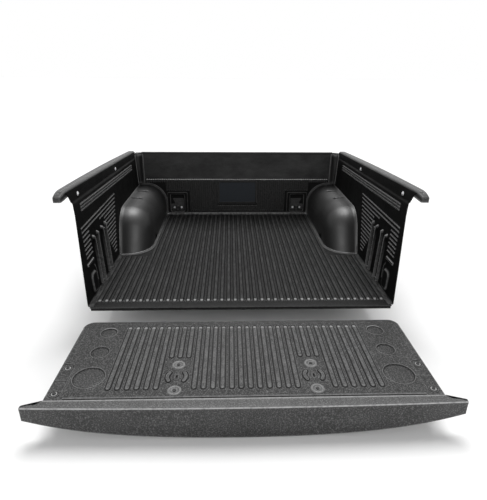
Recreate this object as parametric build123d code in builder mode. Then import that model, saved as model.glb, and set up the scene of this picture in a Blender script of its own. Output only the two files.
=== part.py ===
from build123d import *

import os

# Truck bed liner in millimetres. X runs across the bed with +X on the right of somebody who looks
# forward over the open tailgate, +Y runs forward to the cab and +Z is up. The origin is on the
# floor panel's underside, on the centreline, at the rear edge of the bed's floor.

# ---- driving dimensions -------------------------------------------------------------------------

SHEET = 4.0                  # wall thickness of every moulded panel
BED_LENGTH = 1500.0          # floor, from the tailgate end to the front bulkhead
WALL_FOOT_X = 758.0          # half the bed's width where the side walls meet the floor
WALL_LEAN = 0.05             # how far a side wall leans out for each millimetre of height
FLOOR_TOP = SHEET

# Floor panel
FLOOR_HALF_WIDTH = 754.0
FLOOR_REAR = -6.0            # outer face of the hem that hangs over the bed's rear sill
FLOOR_HEM_DROP = 14.0
FLOOR_RIBS = 43
FLOOR_RIB_PITCH = 34.3
FLOOR_RIB_WIDTH = 16.0
FLOOR_RIB_HEIGHT = 5.0
FLOOR_RIB_REAR = 50.0
FLOOR_RIB_FRONT = 1468.0
FLOOR_RIB_DRAFT = 25.0       # degrees
FLOOR_SIDE_RIB_FRONT = 628.0 # ribs that would run into a wheel arch end here

# Wheel arch covers
ARCH_INNER_X = 572.0
ARCH_REAR = 655.0
ARCH_HEIGHT = 250.0
ARCH_REAR_RUN = 0.548        # rearward run of the arch's back for each millimetre of height
ARCH_CROWN_RADIUS = 194.0    # seen from the side
ARCH_SHOULDER_RADIUS = 150.0 # seen from behind and from above
ARCH_FRONT = 1498.0
ARCH_WALL_GAP = 0.2
ARCH_FLANGE = 14.0
ARCH_FLANGE_THICKNESS = 3.0
ARCH_DASH_SIZE = (76.0, 12.0)
ARCH_DASH_HEIGHT = 3.0
ARCH_DASH_PLACES = ((716.0, 1090.0), (708.0, 1280.0))

# Bulkhead panel
BULKHEAD_TOP = 494.0
BULKHEAD_HALF_WIDTH = 742.0
BULKHEAD_FOOT_DEPTH = 24.0
BULKHEAD_RIB_TOP = 292.0
BULKHEAD_RIB_BOTTOM = 30.0
BULKHEAD_RIB_PITCH = 17.0
BULKHEAD_RIB_WIDTH = 8.0
BULKHEAD_RIB_HEIGHT = 3.0
BULKHEAD_RIBS_EACH_SIDE = 42
PLAQUE_SIZE = (314.0, 188.0)
PLAQUE_CENTRE_Z = 184.0
PLAQUE_HEIGHT = 5.0

# Tie-down pockets in the bulkhead, one on each side
POCKET_X = 482.0
POCKET_Z = 93.5
POCKET_SIZE = (110.0, 147.0)
POCKET_DEPTH = 16.0
POCKET_FRAME = (162.0, 176.0)
POCKET_FRAME_Z = 96.0
POCKET_FRAME_HEIGHT = 4.0
TIE_PLATE_SIZE = (97.0, 105.0)
TIE_PLATE_Z = 77.5
TIE_PLATE_THICKNESS = 3.0
TIE_BOLT_SPACING = 56.0
TIE_BOLT_Z = 54.0
TIE_BOLT_RADIUS = 4.0
TIE_BOLT_CLEARANCE = 0.5
TIE_BOLT_SHOULDER_RADIUS = 4.3   # plain shank in the plate and the panel, ahead of the thread
TIE_BOLT_SHOULDER_END_Y = 1521.0
TIE_BOLT_END_Y = 1548.0
RING_PIVOT_Y = 1505.0
RING_PIVOT_Z = 66.0
RING_BAR_RADIUS = 4.25
RING_BOW_RADIUS = 3.8
RING_BORE_CLEARANCE = 0.06
RING_HALF_WIDTH = 15.0
RING_DROP = 34.0
SADDLE_HALF_WIDTH = 9.0

# Side panels: the wall leans out to a shoulder line, then an upright band rises to the rail
SIDE_REAR = 2.0
SIDE_FRONT = 1496.0
SIDE_FOOT_X = 735.0
SHOULDER_REAR_Z = 512.0      # height of the shoulder line at Y = 0
SHOULDER_FALL = 0.0383       # how far it falls for each millimetre forward
BAND_X = 791.0
BAND_STEP_HEIGHT = 10.0
RAIL_REAR_Z = 586.0          # height of the rail caps' top at Y = 0
RAIL_FALL = 0.0515
BAND_BELOW_RAIL = 8.0
CUT_BACK = ((-10, 0), (2, 8), (25, 165), (52, 335), (70, 455), (70, 520), (40, 562), (2, 588), (-10, 588))
LONG_RIB_DROPS = (17.0, 32.0, 47.0)
LONG_RIB_REAR = 150.0
LONG_RIB_FRONT = 1290.0
WALL_RIB_WIDTH = 7.0
WALL_RIB_HEIGHT = 4.0
FIELD_TOP_Z = 378.0
FIELD_PITCH = 22.5
FIELD_RIBS = 15
FIELD_FULL_RIBS = 2
FIELD_REAR = 100.0
FIELD_REAR_END = 200.0
FIELD_REAR_RIBS = 8
BOARD_SLOTS_Y = (270.0, 420.0)
BOARD_SLOT_WIDTH = 40.0
BOARD_RIDGE_WIDTH = 14.0
BOARD_RIDGE_X = 742.0
BOARD_RIDGE_TOP = 300.0
BUMPER_TAB = (135.0, 188.0, 100.0, 16.0)   # Y, Z, length and height of the small raised tab
BLISTER = (142.0, 78.0, 82.0, 112.0)       # Y, Z, length and height of the low blister
BLISTER_PROUD = 10.0

# Fasteners that hold the side panels and the tailgate panel: a screw, a washer and a rubber nut
SIDE_SCREWS = ((164.0, 537.0), (885.0, 502.0))   # Y, Z
SCREW_RADIUS = 3.0
SCREW_LENGTH = 30.0
SCREW_HEAD_RADIUS = 7.0
SCREW_HEAD_HEIGHT = 3.6
DRIVE_WIDTH = 4.0
DRIVE_DEPTH = 1.8
WASHER_RADIUS = 11.0
WASHER_THICKNESS = 1.6
SHEET_HOLE_RADIUS = 3.6
NUT_RADIUS = 6.5
NUT_LENGTH = 18.0
NUT_FLANGE_RADIUS = 9.5
NUT_FLANGE_THICKNESS = 1.6
NUT_BORE_RADIUS = 3.1

# Rail caps
RAIL_INNER_X = 797.0
RAIL_OUTER = ((842.0, 1500.0), (855.0, 650.0), (840.0, -38.0))
RAIL_FRONT = 1500.0
RAIL_REAR = -38.0
RAIL_SKIRT = 28.0
RAIL_HOOD_BOTTOM = 548.0
RAIL_HOOD_LENGTH = 100.0
RAIL_WALL = 3.0
RAIL_EDGE_RADIUS = 6.0
RAIL_GROOVES_X = (812.0, 824.0)
RAIL_GROOVE_WIDTH = 3.0
RAIL_GROOVE_DEPTH = 1.2
TAPE_WIDTH = 19.0
TAPE_THICKNESS = 1.2

# Corner pillars
PILLAR_X = 770.0
PILLAR_Y = 1478.0
PILLAR_RADIUS = 15.0
PILLAR_BOTTOM = 262.0
PILLAR_TOP = 487.0

# Tailgate, drawn open and level
GATE_TOP = -30.0
GATE_HINGE_EDGE = -76.0
GATE_OUTER_EDGE = -626.0
GATE_HALF_WIDTH = 750.0
GATE_CORNER_RADIUS = 45.0
GATE_SKIRT = 12.0
GATE_RIBS = 30
GATE_RIB_PITCH = 36.3
GATE_RIB_WIDTH = 16.0
GATE_RIB_HEIGHT = 4.0
GATE_RIB_NEAR = -126.0
GATE_RIB_FAR = -560.0
GATE_BROKEN_RIB_END = -367.0
GATE_STUB = (-455.0, -520.0)
GATE_SCREW_X = 272.25
GATE_SCREWS_Y = (-415.0, -567.0)
GATE_EDGE_SCREW_X = 720.0
GATE_EDGE_SCREWS_Y = (-421.0, -571.0)
GATE_EDGE_DROP = 5.0         # the edge screws stand on a flange lower than the field
GATE_EDGE_STRIP_X = 731.0
GATE_EDGE_STRIP_REAR = -398.0
GATE_EDGE_NOTCH = 25.0
GATE_DRAIN_Y = -489.0
GATE_RECESSES = ((617.0, -174.0, 37.0), (618.0, -321.0, 39.0), (617.0, -485.0, 62.0))
GATE_RECESS_DEPTH = 5.0
CUP_RADIUS = 27.0
CUP_HEIGHT = 4.5
CUP_SEAT_RADIUS = 13.0

# Tailgate cap, which wraps over the top edge of the tailgate
CAP_LAP = -615.0
CAP_BACK = -628.0            # the cap's walls begin here, beyond the panel's edge
CAP_SHOULDER = (752.0, -617.0)
CAP_WING = (817.0, -636.0)   # the ends flare out to here from the shoulders
CAP_CORNER = (820.0, -650.0)
CAP_MIDDLE_Y = -663.0
CAP_TOP = -26.0
CAP_WALL = 4.0
CAP_EDGE_RADIUS = 6.0
CAP_CORNER_RADIUS = 3.0
CAP_END_Z = -92.0
CAP_QUARTER = (600.0, -137.0)
CAP_MIDDLE_Z = -171.0
CAP_CUTTER_BOTTOM = -220.0


def wall_x(z):
    """Inner face of the right side wall at height z."""
    return WALL_FOOT_X + WALL_LEAN * z


def shoulder_z(y):
    """Height of the shoulder line where the wall turns into the band."""
    return SHOULDER_REAR_Z - SHOULDER_FALL * y


def rail_z(y):
    """Height of the rail cap's top."""
    return RAIL_REAR_Z - RAIL_FALL * y


# ---- shared forms -------------------------------------------------------------------------------

def arch_block(inset):
    """Solid form of the right wheel arch, shrunk by inset; it runs on below the floor and forward."""
    below = -80.0
    beyond = BED_LENGTH + 120.0
    outboard = 820.0
    corner_y = ARCH_REAR + ARCH_REAR_RUN * (ARCH_HEIGHT - FLOOR_TOP)
    low_y = ARCH_REAR + ARCH_REAR_RUN * (below - FLOOR_TOP)
    with BuildPart() as block:
        with BuildSketch(Plane.YZ.offset(ARCH_INNER_X + inset)):
            Polygon(
                (low_y, below),
                (corner_y, ARCH_HEIGHT),
                (beyond, ARCH_HEIGHT),
                (beyond, below),
                align=None,
            )
            offset(amount=-inset, kind=Kind.INTERSECTION)
            crown = vertices().sort_by(Axis.X)[1]
            fillet(crown, radius=ARCH_CROWN_RADIUS - inset)
        extrude(amount=outboard - ARCH_INNER_X)
        inner_edges = block.edges().group_by(Axis.X)[0]
        shoulder = inner_edges.filter_by(
            lambda edge: edge.center().Y < beyond - 20 and edge.center().Z > below + 20
        )
        fillet(shoulder, radius=ARCH_SHOULDER_RADIUS - inset)
    return block.part


def rail_form(plan_inset, top_drop, skirt):
    """Solid between the rail's plan outline and its side outline, the right side."""
    with BuildPart() as form:
        with BuildSketch(Plane.XY.offset(RAIL_HOOD_BOTTOM - 120)):
            with BuildLine():
                edge = ThreePointArc(*RAIL_OUTER)
                Polyline(
                    edge @ 1,
                    (RAIL_INNER_X, RAIL_REAR),
                    (RAIL_INNER_X, RAIL_FRONT),
                    edge @ 0,
                )
            make_face()
            if plan_inset:
                offset(amount=-plan_inset, kind=Kind.INTERSECTION)
        extrude(amount=240)
        with BuildSketch(Plane.YZ.offset(RAIL_INNER_X - 20)):
            Polygon(
                (RAIL_FRONT, rail_z(RAIL_FRONT) - top_drop),
                (RAIL_REAR, rail_z(RAIL_REAR) - top_drop),
                (RAIL_REAR, RAIL_HOOD_BOTTOM - skirt),
                (0.0, RAIL_HOOD_BOTTOM - skirt),
                (RAIL_HOOD_LENGTH, rail_z(RAIL_HOOD_LENGTH) - RAIL_SKIRT - skirt),
                (RAIL_FRONT, rail_z(RAIL_FRONT) - RAIL_SKIRT - skirt),
                align=None,
            )
        extrude(amount=100, mode=Mode.INTERSECT)
    return form.part


def cap_form(plan_inset, top_drop, bottom_drop):
    """Solid between the tailgate cap's plan outline and its front outline."""
    with BuildPart() as form:
        with BuildSketch(Plane.XY.offset(CAP_CUTTER_BOTTOM)):
            with BuildLine():
                x_shoulder, y_shoulder = CAP_SHOULDER
                x_wing, y_wing = CAP_WING
                x_corner, y_corner = CAP_CORNER
                ThreePointArc((-x_corner, y_corner), (0, CAP_MIDDLE_Y), (x_corner, y_corner))
                Polyline(
                    (x_corner, y_corner),
                    (x_wing, y_wing),
                    (x_shoulder, y_shoulder),
                    (x_shoulder, CAP_LAP),
                    (-x_shoulder, CAP_LAP),
                    (-x_shoulder, y_shoulder),
                    (-x_wing, y_wing),
                    (-x_corner, y_corner),
                )
            make_face()
            if plan_inset:
                offset(amount=-plan_inset, kind=Kind.INTERSECTION)
        extrude(amount=CAP_TOP - CAP_CUTTER_BOTTOM)
        with BuildSketch(Plane.XZ.offset(-CAP_MIDDLE_Y + 20)):
            with BuildLine():
                x_end = CAP_CORNER[0] + 4
                x_quarter, z_quarter = CAP_QUARTER
                Spline(
                    (-x_end, CAP_END_Z - bottom_drop),
                    (-x_quarter, z_quarter - bottom_drop),
                    (0, CAP_MIDDLE_Z - bottom_drop),
                    (x_quarter, z_quarter - bottom_drop),
                    (x_end, CAP_END_Z - bottom_drop),
                )
                Polyline(
                    (x_end, CAP_END_Z - bottom_drop),
                    (x_end, CAP_TOP - top_drop),
                    (-x_end, CAP_TOP - top_drop),
                    (-x_end, CAP_END_Z - bottom_drop),
                )
            make_face()
        extrude(amount=-100, mode=Mode.INTERSECT)
    return form.part


def screw_form():
    """Pan-head screw with its head's underside on the XY plane and its shank pointing down."""
    with BuildPart() as screw:
        Cylinder(SCREW_RADIUS, SCREW_LENGTH, align=(Align.CENTER, Align.CENTER, Align.MAX))
        Cylinder(
            SCREW_HEAD_RADIUS,
            SCREW_HEAD_HEIGHT,
            align=(Align.CENTER, Align.CENTER, Align.MIN),
        )
        fillet(screw.edges().group_by(Axis.Z)[-1], radius=1.6)
        with BuildSketch(Plane.XY.offset(SCREW_HEAD_HEIGHT - DRIVE_DEPTH)):
            RegularPolygon(DRIVE_WIDTH / 2, 6)
        extrude(amount=DRIVE_DEPTH, mode=Mode.SUBTRACT)
    return screw.part


def washer_form():
    """Flat washer that lies on the XY plane."""
    with BuildPart() as washer:
        Cylinder(
            WASHER_RADIUS,
            WASHER_THICKNESS,
            align=(Align.CENTER, Align.CENTER, Align.MIN),
        )
        Hole(SHEET_HOLE_RADIUS)
        chamfer(washer.faces().sort_by(Axis.Z)[-1].outer_wire().edges(), length=0.5)
    return washer.part


def cup_washer_form():
    """Dished washer on the XY plane: a raised rim that falls to a seat for the screw's head."""
    with BuildPart() as cup:
        with BuildSketch(Plane.XZ):
            Polygon(
                (SHEET_HOLE_RADIUS, 0),
                (CUP_RADIUS, 0),
                (CUP_RADIUS - 1.5, 2.6),
                (CUP_RADIUS - 6, CUP_HEIGHT),
                (CUP_RADIUS - 9, CUP_HEIGHT),
                (CUP_SEAT_RADIUS, WASHER_THICKNESS),
                (SHEET_HOLE_RADIUS, WASHER_THICKNESS),
                align=None,
            )
        revolve(axis=Axis.Z)
    return cup.part


def well_nut_form():
    """Rubber well nut that hangs from the XY plane, with its flange against the sheet above."""
    with BuildPart() as nut:
        Cylinder(
            NUT_FLANGE_RADIUS,
            NUT_FLANGE_THICKNESS,
            align=(Align.CENTER, Align.CENTER, Align.MAX),
        )
        Cylinder(NUT_RADIUS, NUT_LENGTH, align=(Align.CENTER, Align.CENTER, Align.MAX))
        Hole(NUT_BORE_RADIUS)
    return nut.part


def raised_bar(y, z, length, height, proud):
    """Rounded bar on the right wall: its centre, its length along Y and its height along Z."""
    with BuildPart() as bar:
        with BuildSketch(Plane.YZ.offset(wall_x(z) - proud)):
            with Locations((y, z)):
                RectangleRounded(length, height, min(length, height) * 0.3)
        extrude(amount=proud + SHEET / 2)
    return bar.part


SCREW = screw_form()
WASHER = washer_form()
CUP_WASHER = cup_washer_form()
WELL_NUT = well_nut_form()
WHEELHOUSE_HOLE = arch_block(14.0)


def finish(node, label):
    """Names one piece and writes it as its own file."""
    node.part.label = label
    export_step(node.part, f"parts/{label}.step")
    print(label, len(node.part.solids()), "solid(s)", round(node.part.volume), "mm3")


os.makedirs("parts", exist_ok=True)


# ---- floor panel --------------------------------------------------------------------------------

with BuildPart() as floor_panel:
    with BuildSketch():
        with Locations(((0, (BED_LENGTH + FLOOR_REAR) / 2))):
            Rectangle(2 * FLOOR_HALF_WIDTH, BED_LENGTH - FLOOR_REAR)
    extrude(amount=SHEET)
    # hem that hangs over the sill
    with BuildSketch(Plane.XY.offset(-FLOOR_HEM_DROP)):
        with Locations((0, FLOOR_REAR + SHEET / 2)):
            Rectangle(2 * FLOOR_HALF_WIDTH, SHEET)
    extrude(amount=FLOOR_HEM_DROP)
    # holes for the wheelhouses
    add(WHEELHOUSE_HOLE, mode=Mode.SUBTRACT)
    mirror(WHEELHOUSE_HOLE, about=Plane.YZ, mode=Mode.SUBTRACT)
    # long ribs; those outboard of the arches' inner faces are shorter
    with BuildSketch(Plane.XY.offset(SHEET)):
        for rib in range(FLOOR_RIBS):
            x = (rib - (FLOOR_RIBS - 1) / 2) * FLOOR_RIB_PITCH
            runs_by_arch = abs(x) + FLOOR_RIB_WIDTH / 2 < ARCH_INNER_X - ARCH_FLANGE
            front = FLOOR_RIB_FRONT if runs_by_arch else FLOOR_SIDE_RIB_FRONT
            with Locations((x, (front + FLOOR_RIB_REAR) / 2)):
                Rectangle(FLOOR_RIB_WIDTH, front - FLOOR_RIB_REAR)
    extrude(amount=FLOOR_RIB_HEIGHT, taper=FLOOR_RIB_DRAFT)
finish(floor_panel, "floor_panel")


# ---- wheel arch covers --------------------------------------------------------------------------

with BuildPart() as arch_cover_right:
    add(arch_block(0.0))
    add(arch_block(SHEET), mode=Mode.SUBTRACT)
    # keep what is inside the bed: above the floor, inboard of the wall and behind the bulkhead
    with BuildSketch(Plane.XZ):
        Polygon(
            (ARCH_INNER_X - 40, FLOOR_TOP),
            (wall_x(FLOOR_TOP) - ARCH_WALL_GAP, FLOOR_TOP),
            (wall_x(ARCH_HEIGHT + 40) - ARCH_WALL_GAP, ARCH_HEIGHT + 40),
            (ARCH_INNER_X - 40, ARCH_HEIGHT + 40),
            align=None,
        )
    extrude(amount=-ARCH_FRONT, mode=Mode.INTERSECT)
    # flange round the foot
    with BuildSketch(Plane.XY.offset(FLOOR_TOP)):
        with BuildLine():
            inner_x = ARCH_INNER_X - ARCH_FLANGE
            rear_y = ARCH_REAR - ARCH_FLANGE
            radius = ARCH_SHOULDER_RADIUS + ARCH_FLANGE
            bend = RadiusArc((inner_x, rear_y + radius), (inner_x + radius, rear_y), -radius)
            Polyline(
                bend @ 1,
                (SIDE_FOOT_X - 1, rear_y),
                (SIDE_FOOT_X - 1, ARCH_FRONT - BULKHEAD_FOOT_DEPTH),
                (inner_x, ARCH_FRONT - BULKHEAD_FOOT_DEPTH),
                bend @ 0,
            )
        make_face()
    extrude(amount=ARCH_FLANGE_THICKNESS)
    add(arch_block(SHEET), mode=Mode.SUBTRACT)
    # two short raised dashes on the top near the front
    for dash_x, dash_y in ARCH_DASH_PLACES:
        with BuildSketch(Plane.XY.offset(ARCH_HEIGHT - SHEET / 2)):
            with Locations((dash_x, dash_y)):
                RectangleRounded(*ARCH_DASH_SIZE, 5.0)
        extrude(amount=SHEET / 2 + ARCH_DASH_HEIGHT)
finish(arch_cover_right, "arch_cover_right")

with BuildPart() as arch_cover_left:
    mirror(arch_cover_right.part, about=Plane.YZ)
finish(arch_cover_left, "arch_cover_left")


# ---- bulkhead panel -----------------------------------------------------------------------------

ARCH_GAP_BLOCK = arch_block(-3.0)
PLATE_BACK_Y = BED_LENGTH + POCKET_DEPTH

with BuildPart() as bulkhead_panel:
    with BuildSketch(Plane.XZ.offset(-BED_LENGTH)):
        with Locations((0, (BULKHEAD_TOP + FLOOR_TOP) / 2)):
            Rectangle(2 * BULKHEAD_HALF_WIDTH, BULKHEAD_TOP - FLOOR_TOP)
    extrude(amount=-SHEET)
    # vertical ribs below the smooth band
    with BuildSketch(Plane.XZ.offset(-BED_LENGTH)):
        for rib in range(-BULKHEAD_RIBS_EACH_SIDE, BULKHEAD_RIBS_EACH_SIDE + 1):
            low = BULKHEAD_RIB_BOTTOM
            if abs(rib * BULKHEAD_RIB_PITCH) > ARCH_INNER_X - 10:
                low = ARCH_HEIGHT + 6
            with Locations((rib * BULKHEAD_RIB_PITCH, (BULKHEAD_RIB_TOP + low) / 2)):
                Rectangle(BULKHEAD_RIB_WIDTH, BULKHEAD_RIB_TOP - low)
        with Locations((0, PLAQUE_CENTRE_Z)):
            Rectangle(*PLAQUE_SIZE, mode=Mode.SUBTRACT)
        with Locations((-POCKET_X, POCKET_FRAME_Z), (POCKET_X, POCKET_FRAME_Z)):
            Rectangle(*POCKET_FRAME, mode=Mode.SUBTRACT)
    extrude(amount=BULKHEAD_RIB_HEIGHT)
    # blank plaque and the raised frames of the pockets
    with BuildSketch(Plane.XZ.offset(-BED_LENGTH)):
        with Locations((0, PLAQUE_CENTRE_Z)):
            RectangleRounded(*PLAQUE_SIZE, 10)
    extrude(amount=PLAQUE_HEIGHT)
    with BuildSketch(Plane.XZ.offset(-BED_LENGTH)):
        with Locations((-POCKET_X, POCKET_FRAME_Z), (POCKET_X, POCKET_FRAME_Z)):
            RectangleRounded(*POCKET_FRAME, 12)
    extrude(amount=POCKET_FRAME_HEIGHT)
    # pockets: a moulded tub behind each frame
    with BuildSketch(Plane.XZ.offset(-BED_LENGTH)):
        with Locations((-POCKET_X, POCKET_Z), (POCKET_X, POCKET_Z)):
            RectangleRounded(POCKET_SIZE[0] + 2 * SHEET, POCKET_SIZE[1] + 2 * SHEET, 12)
    extrude(amount=-(POCKET_DEPTH + SHEET))
    with BuildSketch(Plane.XZ.offset(-PLATE_BACK_Y)):
        with Locations((-POCKET_X, POCKET_Z), (POCKET_X, POCKET_Z)):
            RectangleRounded(*POCKET_SIZE, 8)
    extrude(amount=POCKET_DEPTH + POCKET_FRAME_HEIGHT + 1, mode=Mode.SUBTRACT)
    # bolt holes through the pockets' backs
    with BuildSketch(Plane.XZ.offset(-PLATE_BACK_Y)):
        for pocket_x in (-POCKET_X, POCKET_X):
            with Locations((pocket_x, TIE_BOLT_Z)):
                with GridLocations(TIE_BOLT_SPACING, 1, 2, 1):
                    Circle(TIE_BOLT_RADIUS + TIE_BOLT_CLEARANCE)
    extrude(amount=-2 * SHEET, mode=Mode.SUBTRACT)
    # foot that lies on the floor panel
    with BuildSketch(Plane.XY.offset(FLOOR_TOP)):
        with Locations((0, BED_LENGTH - BULKHEAD_FOOT_DEPTH / 2)):
            Rectangle(2 * (ARCH_INNER_X - ARCH_FLANGE), BULKHEAD_FOOT_DEPTH)
    extrude(amount=ARCH_FLANGE_THICKNESS)
    # the arches pass the panel's lower corners
    add(ARCH_GAP_BLOCK, mode=Mode.SUBTRACT)
    mirror(ARCH_GAP_BLOCK, about=Plane.YZ, mode=Mode.SUBTRACT)
finish(bulkhead_panel, "bulkhead_panel")

with BuildPart() as bulkhead_rail_cap:
    with BuildSketch(Plane.YZ.offset(-BULKHEAD_HALF_WIDTH)):
        with Locations((BED_LENGTH + 4, BULKHEAD_TOP + 1)):
            RectangleRounded(18, 14, 4)
        with Locations((BED_LENGTH + SHEET / 2, BULKHEAD_TOP - 8)):
            Rectangle(SHEET, 16, mode=Mode.SUBTRACT)
    extrude(amount=2 * BULKHEAD_HALF_WIDTH)
finish(bulkhead_rail_cap, "bulkhead_rail_cap")


# ---- side panels --------------------------------------------------------------------------------

def side_section(y):
    """Outline of the right side panel's section at one station along the bed."""
    kink = shoulder_z(y)
    top = rail_z(y) - BAND_BELOW_RAIL
    foot_top = FLOOR_TOP + ARCH_FLANGE_THICKNESS
    return (
        (SIDE_FOOT_X, FLOOR_TOP),
        (SIDE_FOOT_X, foot_top),
        (wall_x(foot_top), foot_top),
        (wall_x(kink), kink),
        (BAND_X, kink + BAND_STEP_HEIGHT),
        (BAND_X, top),
        (BAND_X + SHEET, top),
        (BAND_X + SHEET, kink + BAND_STEP_HEIGHT - 2),
        (wall_x(kink) + SHEET, kink - 2),
        (wall_x(FLOOR_TOP) + SHEET, FLOOR_TOP),
    )


def field_rib_spans(row):
    """Where one low rib of the wall's field runs: one span, or one behind and one ahead of the slots."""
    z = FIELD_TOP_Z - FIELD_PITCH * row
    ahead = 605.0 + 0.41 * (z - 50.0)
    if row < FIELD_FULL_RIBS:
        return [(FIELD_REAR, ahead)]
    behind_slots = [(FIELD_REAR, FIELD_REAR_END)] if row < FIELD_REAR_RIBS else []
    start = 375.0 + 0.66 * (350.0 - z)
    clear_of_slots = BOARD_SLOTS_Y[1] + BOARD_SLOT_WIDTH / 2 + BOARD_RIDGE_WIDTH + 10
    if z < BOARD_RIDGE_TOP + 15:
        start = max(start, clear_of_slots)
    return behind_slots + [(start, ahead)]


# the arch cover's foot stands where the side panel's foot would run
with BuildPart() as foot_clearance:
    add(arch_block(0.0))
    with BuildSketch():
        with Locations((wall_x(FLOOR_TOP) - 50, BED_LENGTH / 2)):
            Rectangle(100, 2 * BED_LENGTH)
    extrude(amount=FLOOR_TOP + ARCH_FLANGE_THICKNESS, mode=Mode.INTERSECT)

with BuildPart() as side_panel_right:
    with BuildSketch(Plane.XZ.offset(-SIDE_REAR)):
        Polygon(*side_section(SIDE_REAR), align=None)
    with BuildSketch(Plane.XZ.offset(-SIDE_FRONT)):
        Polygon(*side_section(SIDE_FRONT), align=None)
    loft(ruled=True)
    # long ribs below the shoulder, parallel to it
    for drop in LONG_RIB_DROPS:
        with BuildSketch(Plane.YZ.offset(wall_x(shoulder_z(700) - drop) - WALL_RIB_HEIGHT)):
            Polygon(
                (LONG_RIB_REAR, shoulder_z(LONG_RIB_REAR) - drop),
                (LONG_RIB_FRONT, shoulder_z(LONG_RIB_FRONT) - drop),
                (LONG_RIB_FRONT, shoulder_z(LONG_RIB_FRONT) - drop - WALL_RIB_WIDTH),
                (LONG_RIB_REAR, shoulder_z(LONG_RIB_REAR) - drop - WALL_RIB_WIDTH),
                align=None,
            )
        extrude(amount=WALL_RIB_HEIGHT + SHEET / 2)
    # the field of level ribs
    for row in range(FIELD_RIBS):
        rib_z = FIELD_TOP_Z - FIELD_PITCH * row
        for rear, front in field_rib_spans(row):
            middle = (rear + front) / 2
            add(raised_bar(middle, rib_z, front - rear, WALL_RIB_WIDTH, WALL_RIB_HEIGHT))
    # ridges in pairs, which take a board set across the bed
    for slot_y in BOARD_SLOTS_Y:
        for side in (-1, 1):
            ridge_y = slot_y + side * (BOARD_SLOT_WIDTH + BOARD_RIDGE_WIDTH) / 2
            with BuildSketch(Plane.XZ.offset(-ridge_y)):
                Polygon(
                    (BOARD_RIDGE_X, FLOOR_TOP + ARCH_FLANGE_THICKNESS),
                    (BOARD_RIDGE_X + WALL_LEAN * BOARD_RIDGE_TOP, BOARD_RIDGE_TOP - 16),
                    (wall_x(BOARD_RIDGE_TOP) + SHEET / 2, BOARD_RIDGE_TOP),
                    (wall_x(0) + SHEET / 2, FLOOR_TOP + ARCH_FLANGE_THICKNESS),
                    align=None,
                )
            extrude(amount=BOARD_RIDGE_WIDTH / 2, both=True)
    add(raised_bar(*BUMPER_TAB, 8.0))
    add(raised_bar(*BLISTER, BLISTER_PROUD))
    # screw holes in the band, the wheelhouse opening and the cut-back rear edge
    with BuildSketch(Plane.YZ.offset(BAND_X - 2)):
        with Locations(*SIDE_SCREWS):
            Circle(SHEET_HOLE_RADIUS)
    extrude(amount=SHEET + 4, mode=Mode.SUBTRACT)
    add(arch_block(6.0), mode=Mode.SUBTRACT)
    add(foot_clearance.part, mode=Mode.SUBTRACT)
    with BuildSketch(Plane.YZ.offset(SIDE_FOOT_X - 5)):
        Polygon(*CUT_BACK, align=None)
    extrude(amount=BAND_X - SIDE_FOOT_X + 20, mode=Mode.SUBTRACT)
finish(side_panel_right, "side_panel_right")

with BuildPart() as side_panel_left:
    mirror(side_panel_right.part, about=Plane.YZ)
finish(side_panel_left, "side_panel_left")


# ---- side panel fasteners -----------------------------------------------------------------------

def side_fasteners(form, side, face_x, name):
    """One fastener form at each screw of a side; its axis points into the bed."""
    with BuildPart() as group:
        for screw_y, screw_z in SIDE_SCREWS:
            seat = Plane(
                origin=(side * face_x, screw_y, screw_z),
                x_dir=(0, 1, 0),
                z_dir=(-side, 0, 0),
            )
            with Locations(seat):
                add(form)
    finish(group, name)


for side, side_name in ((1, "right"), (-1, "left")):
    side_fasteners(WASHER, side, BAND_X, f"side_panel_washers_{side_name}")
    side_fasteners(SCREW, side, BAND_X - WASHER_THICKNESS, f"side_panel_screws_{side_name}")
    side_fasteners(WELL_NUT, side, BAND_X + SHEET, f"side_panel_well_nuts_{side_name}")


# ---- corner pillars -----------------------------------------------------------------------------

with BuildPart() as corner_pillar_right:
    with BuildSketch(Plane.XY.offset(PILLAR_BOTTOM)):
        with Locations((PILLAR_X, PILLAR_Y)):
            Circle(PILLAR_RADIUS)
            Circle(PILLAR_RADIUS - SHEET, mode=Mode.SUBTRACT)
    extrude(amount=PILLAR_TOP - PILLAR_BOTTOM)
    # rounded lower end
    with BuildSketch(Plane.XY.offset(PILLAR_BOTTOM)):
        with Locations((PILLAR_X, PILLAR_Y)):
            Circle(PILLAR_RADIUS)
    extrude(amount=-8, taper=40)
    # leaf that tucks behind the bulkhead panel
    with BuildSketch(Plane.XY.offset(PILLAR_BOTTOM + 4)):
        with Locations((PILLAR_X - 22, BED_LENGTH + SHEET + 1.5)):
            Rectangle(60, 3)
        with Locations((PILLAR_X + 6.5, PILLAR_Y + 21)):
            Rectangle(3, 15)
    extrude(amount=PILLAR_TOP - PILLAR_BOTTOM - 4)
finish(corner_pillar_right, "corner_pillar_right")

with BuildPart() as corner_pillar_left:
    mirror(corner_pillar_right.part, about=Plane.YZ)
finish(corner_pillar_left, "corner_pillar_left")


# ---- rail caps ----------------------------------------------------------------------------------

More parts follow.
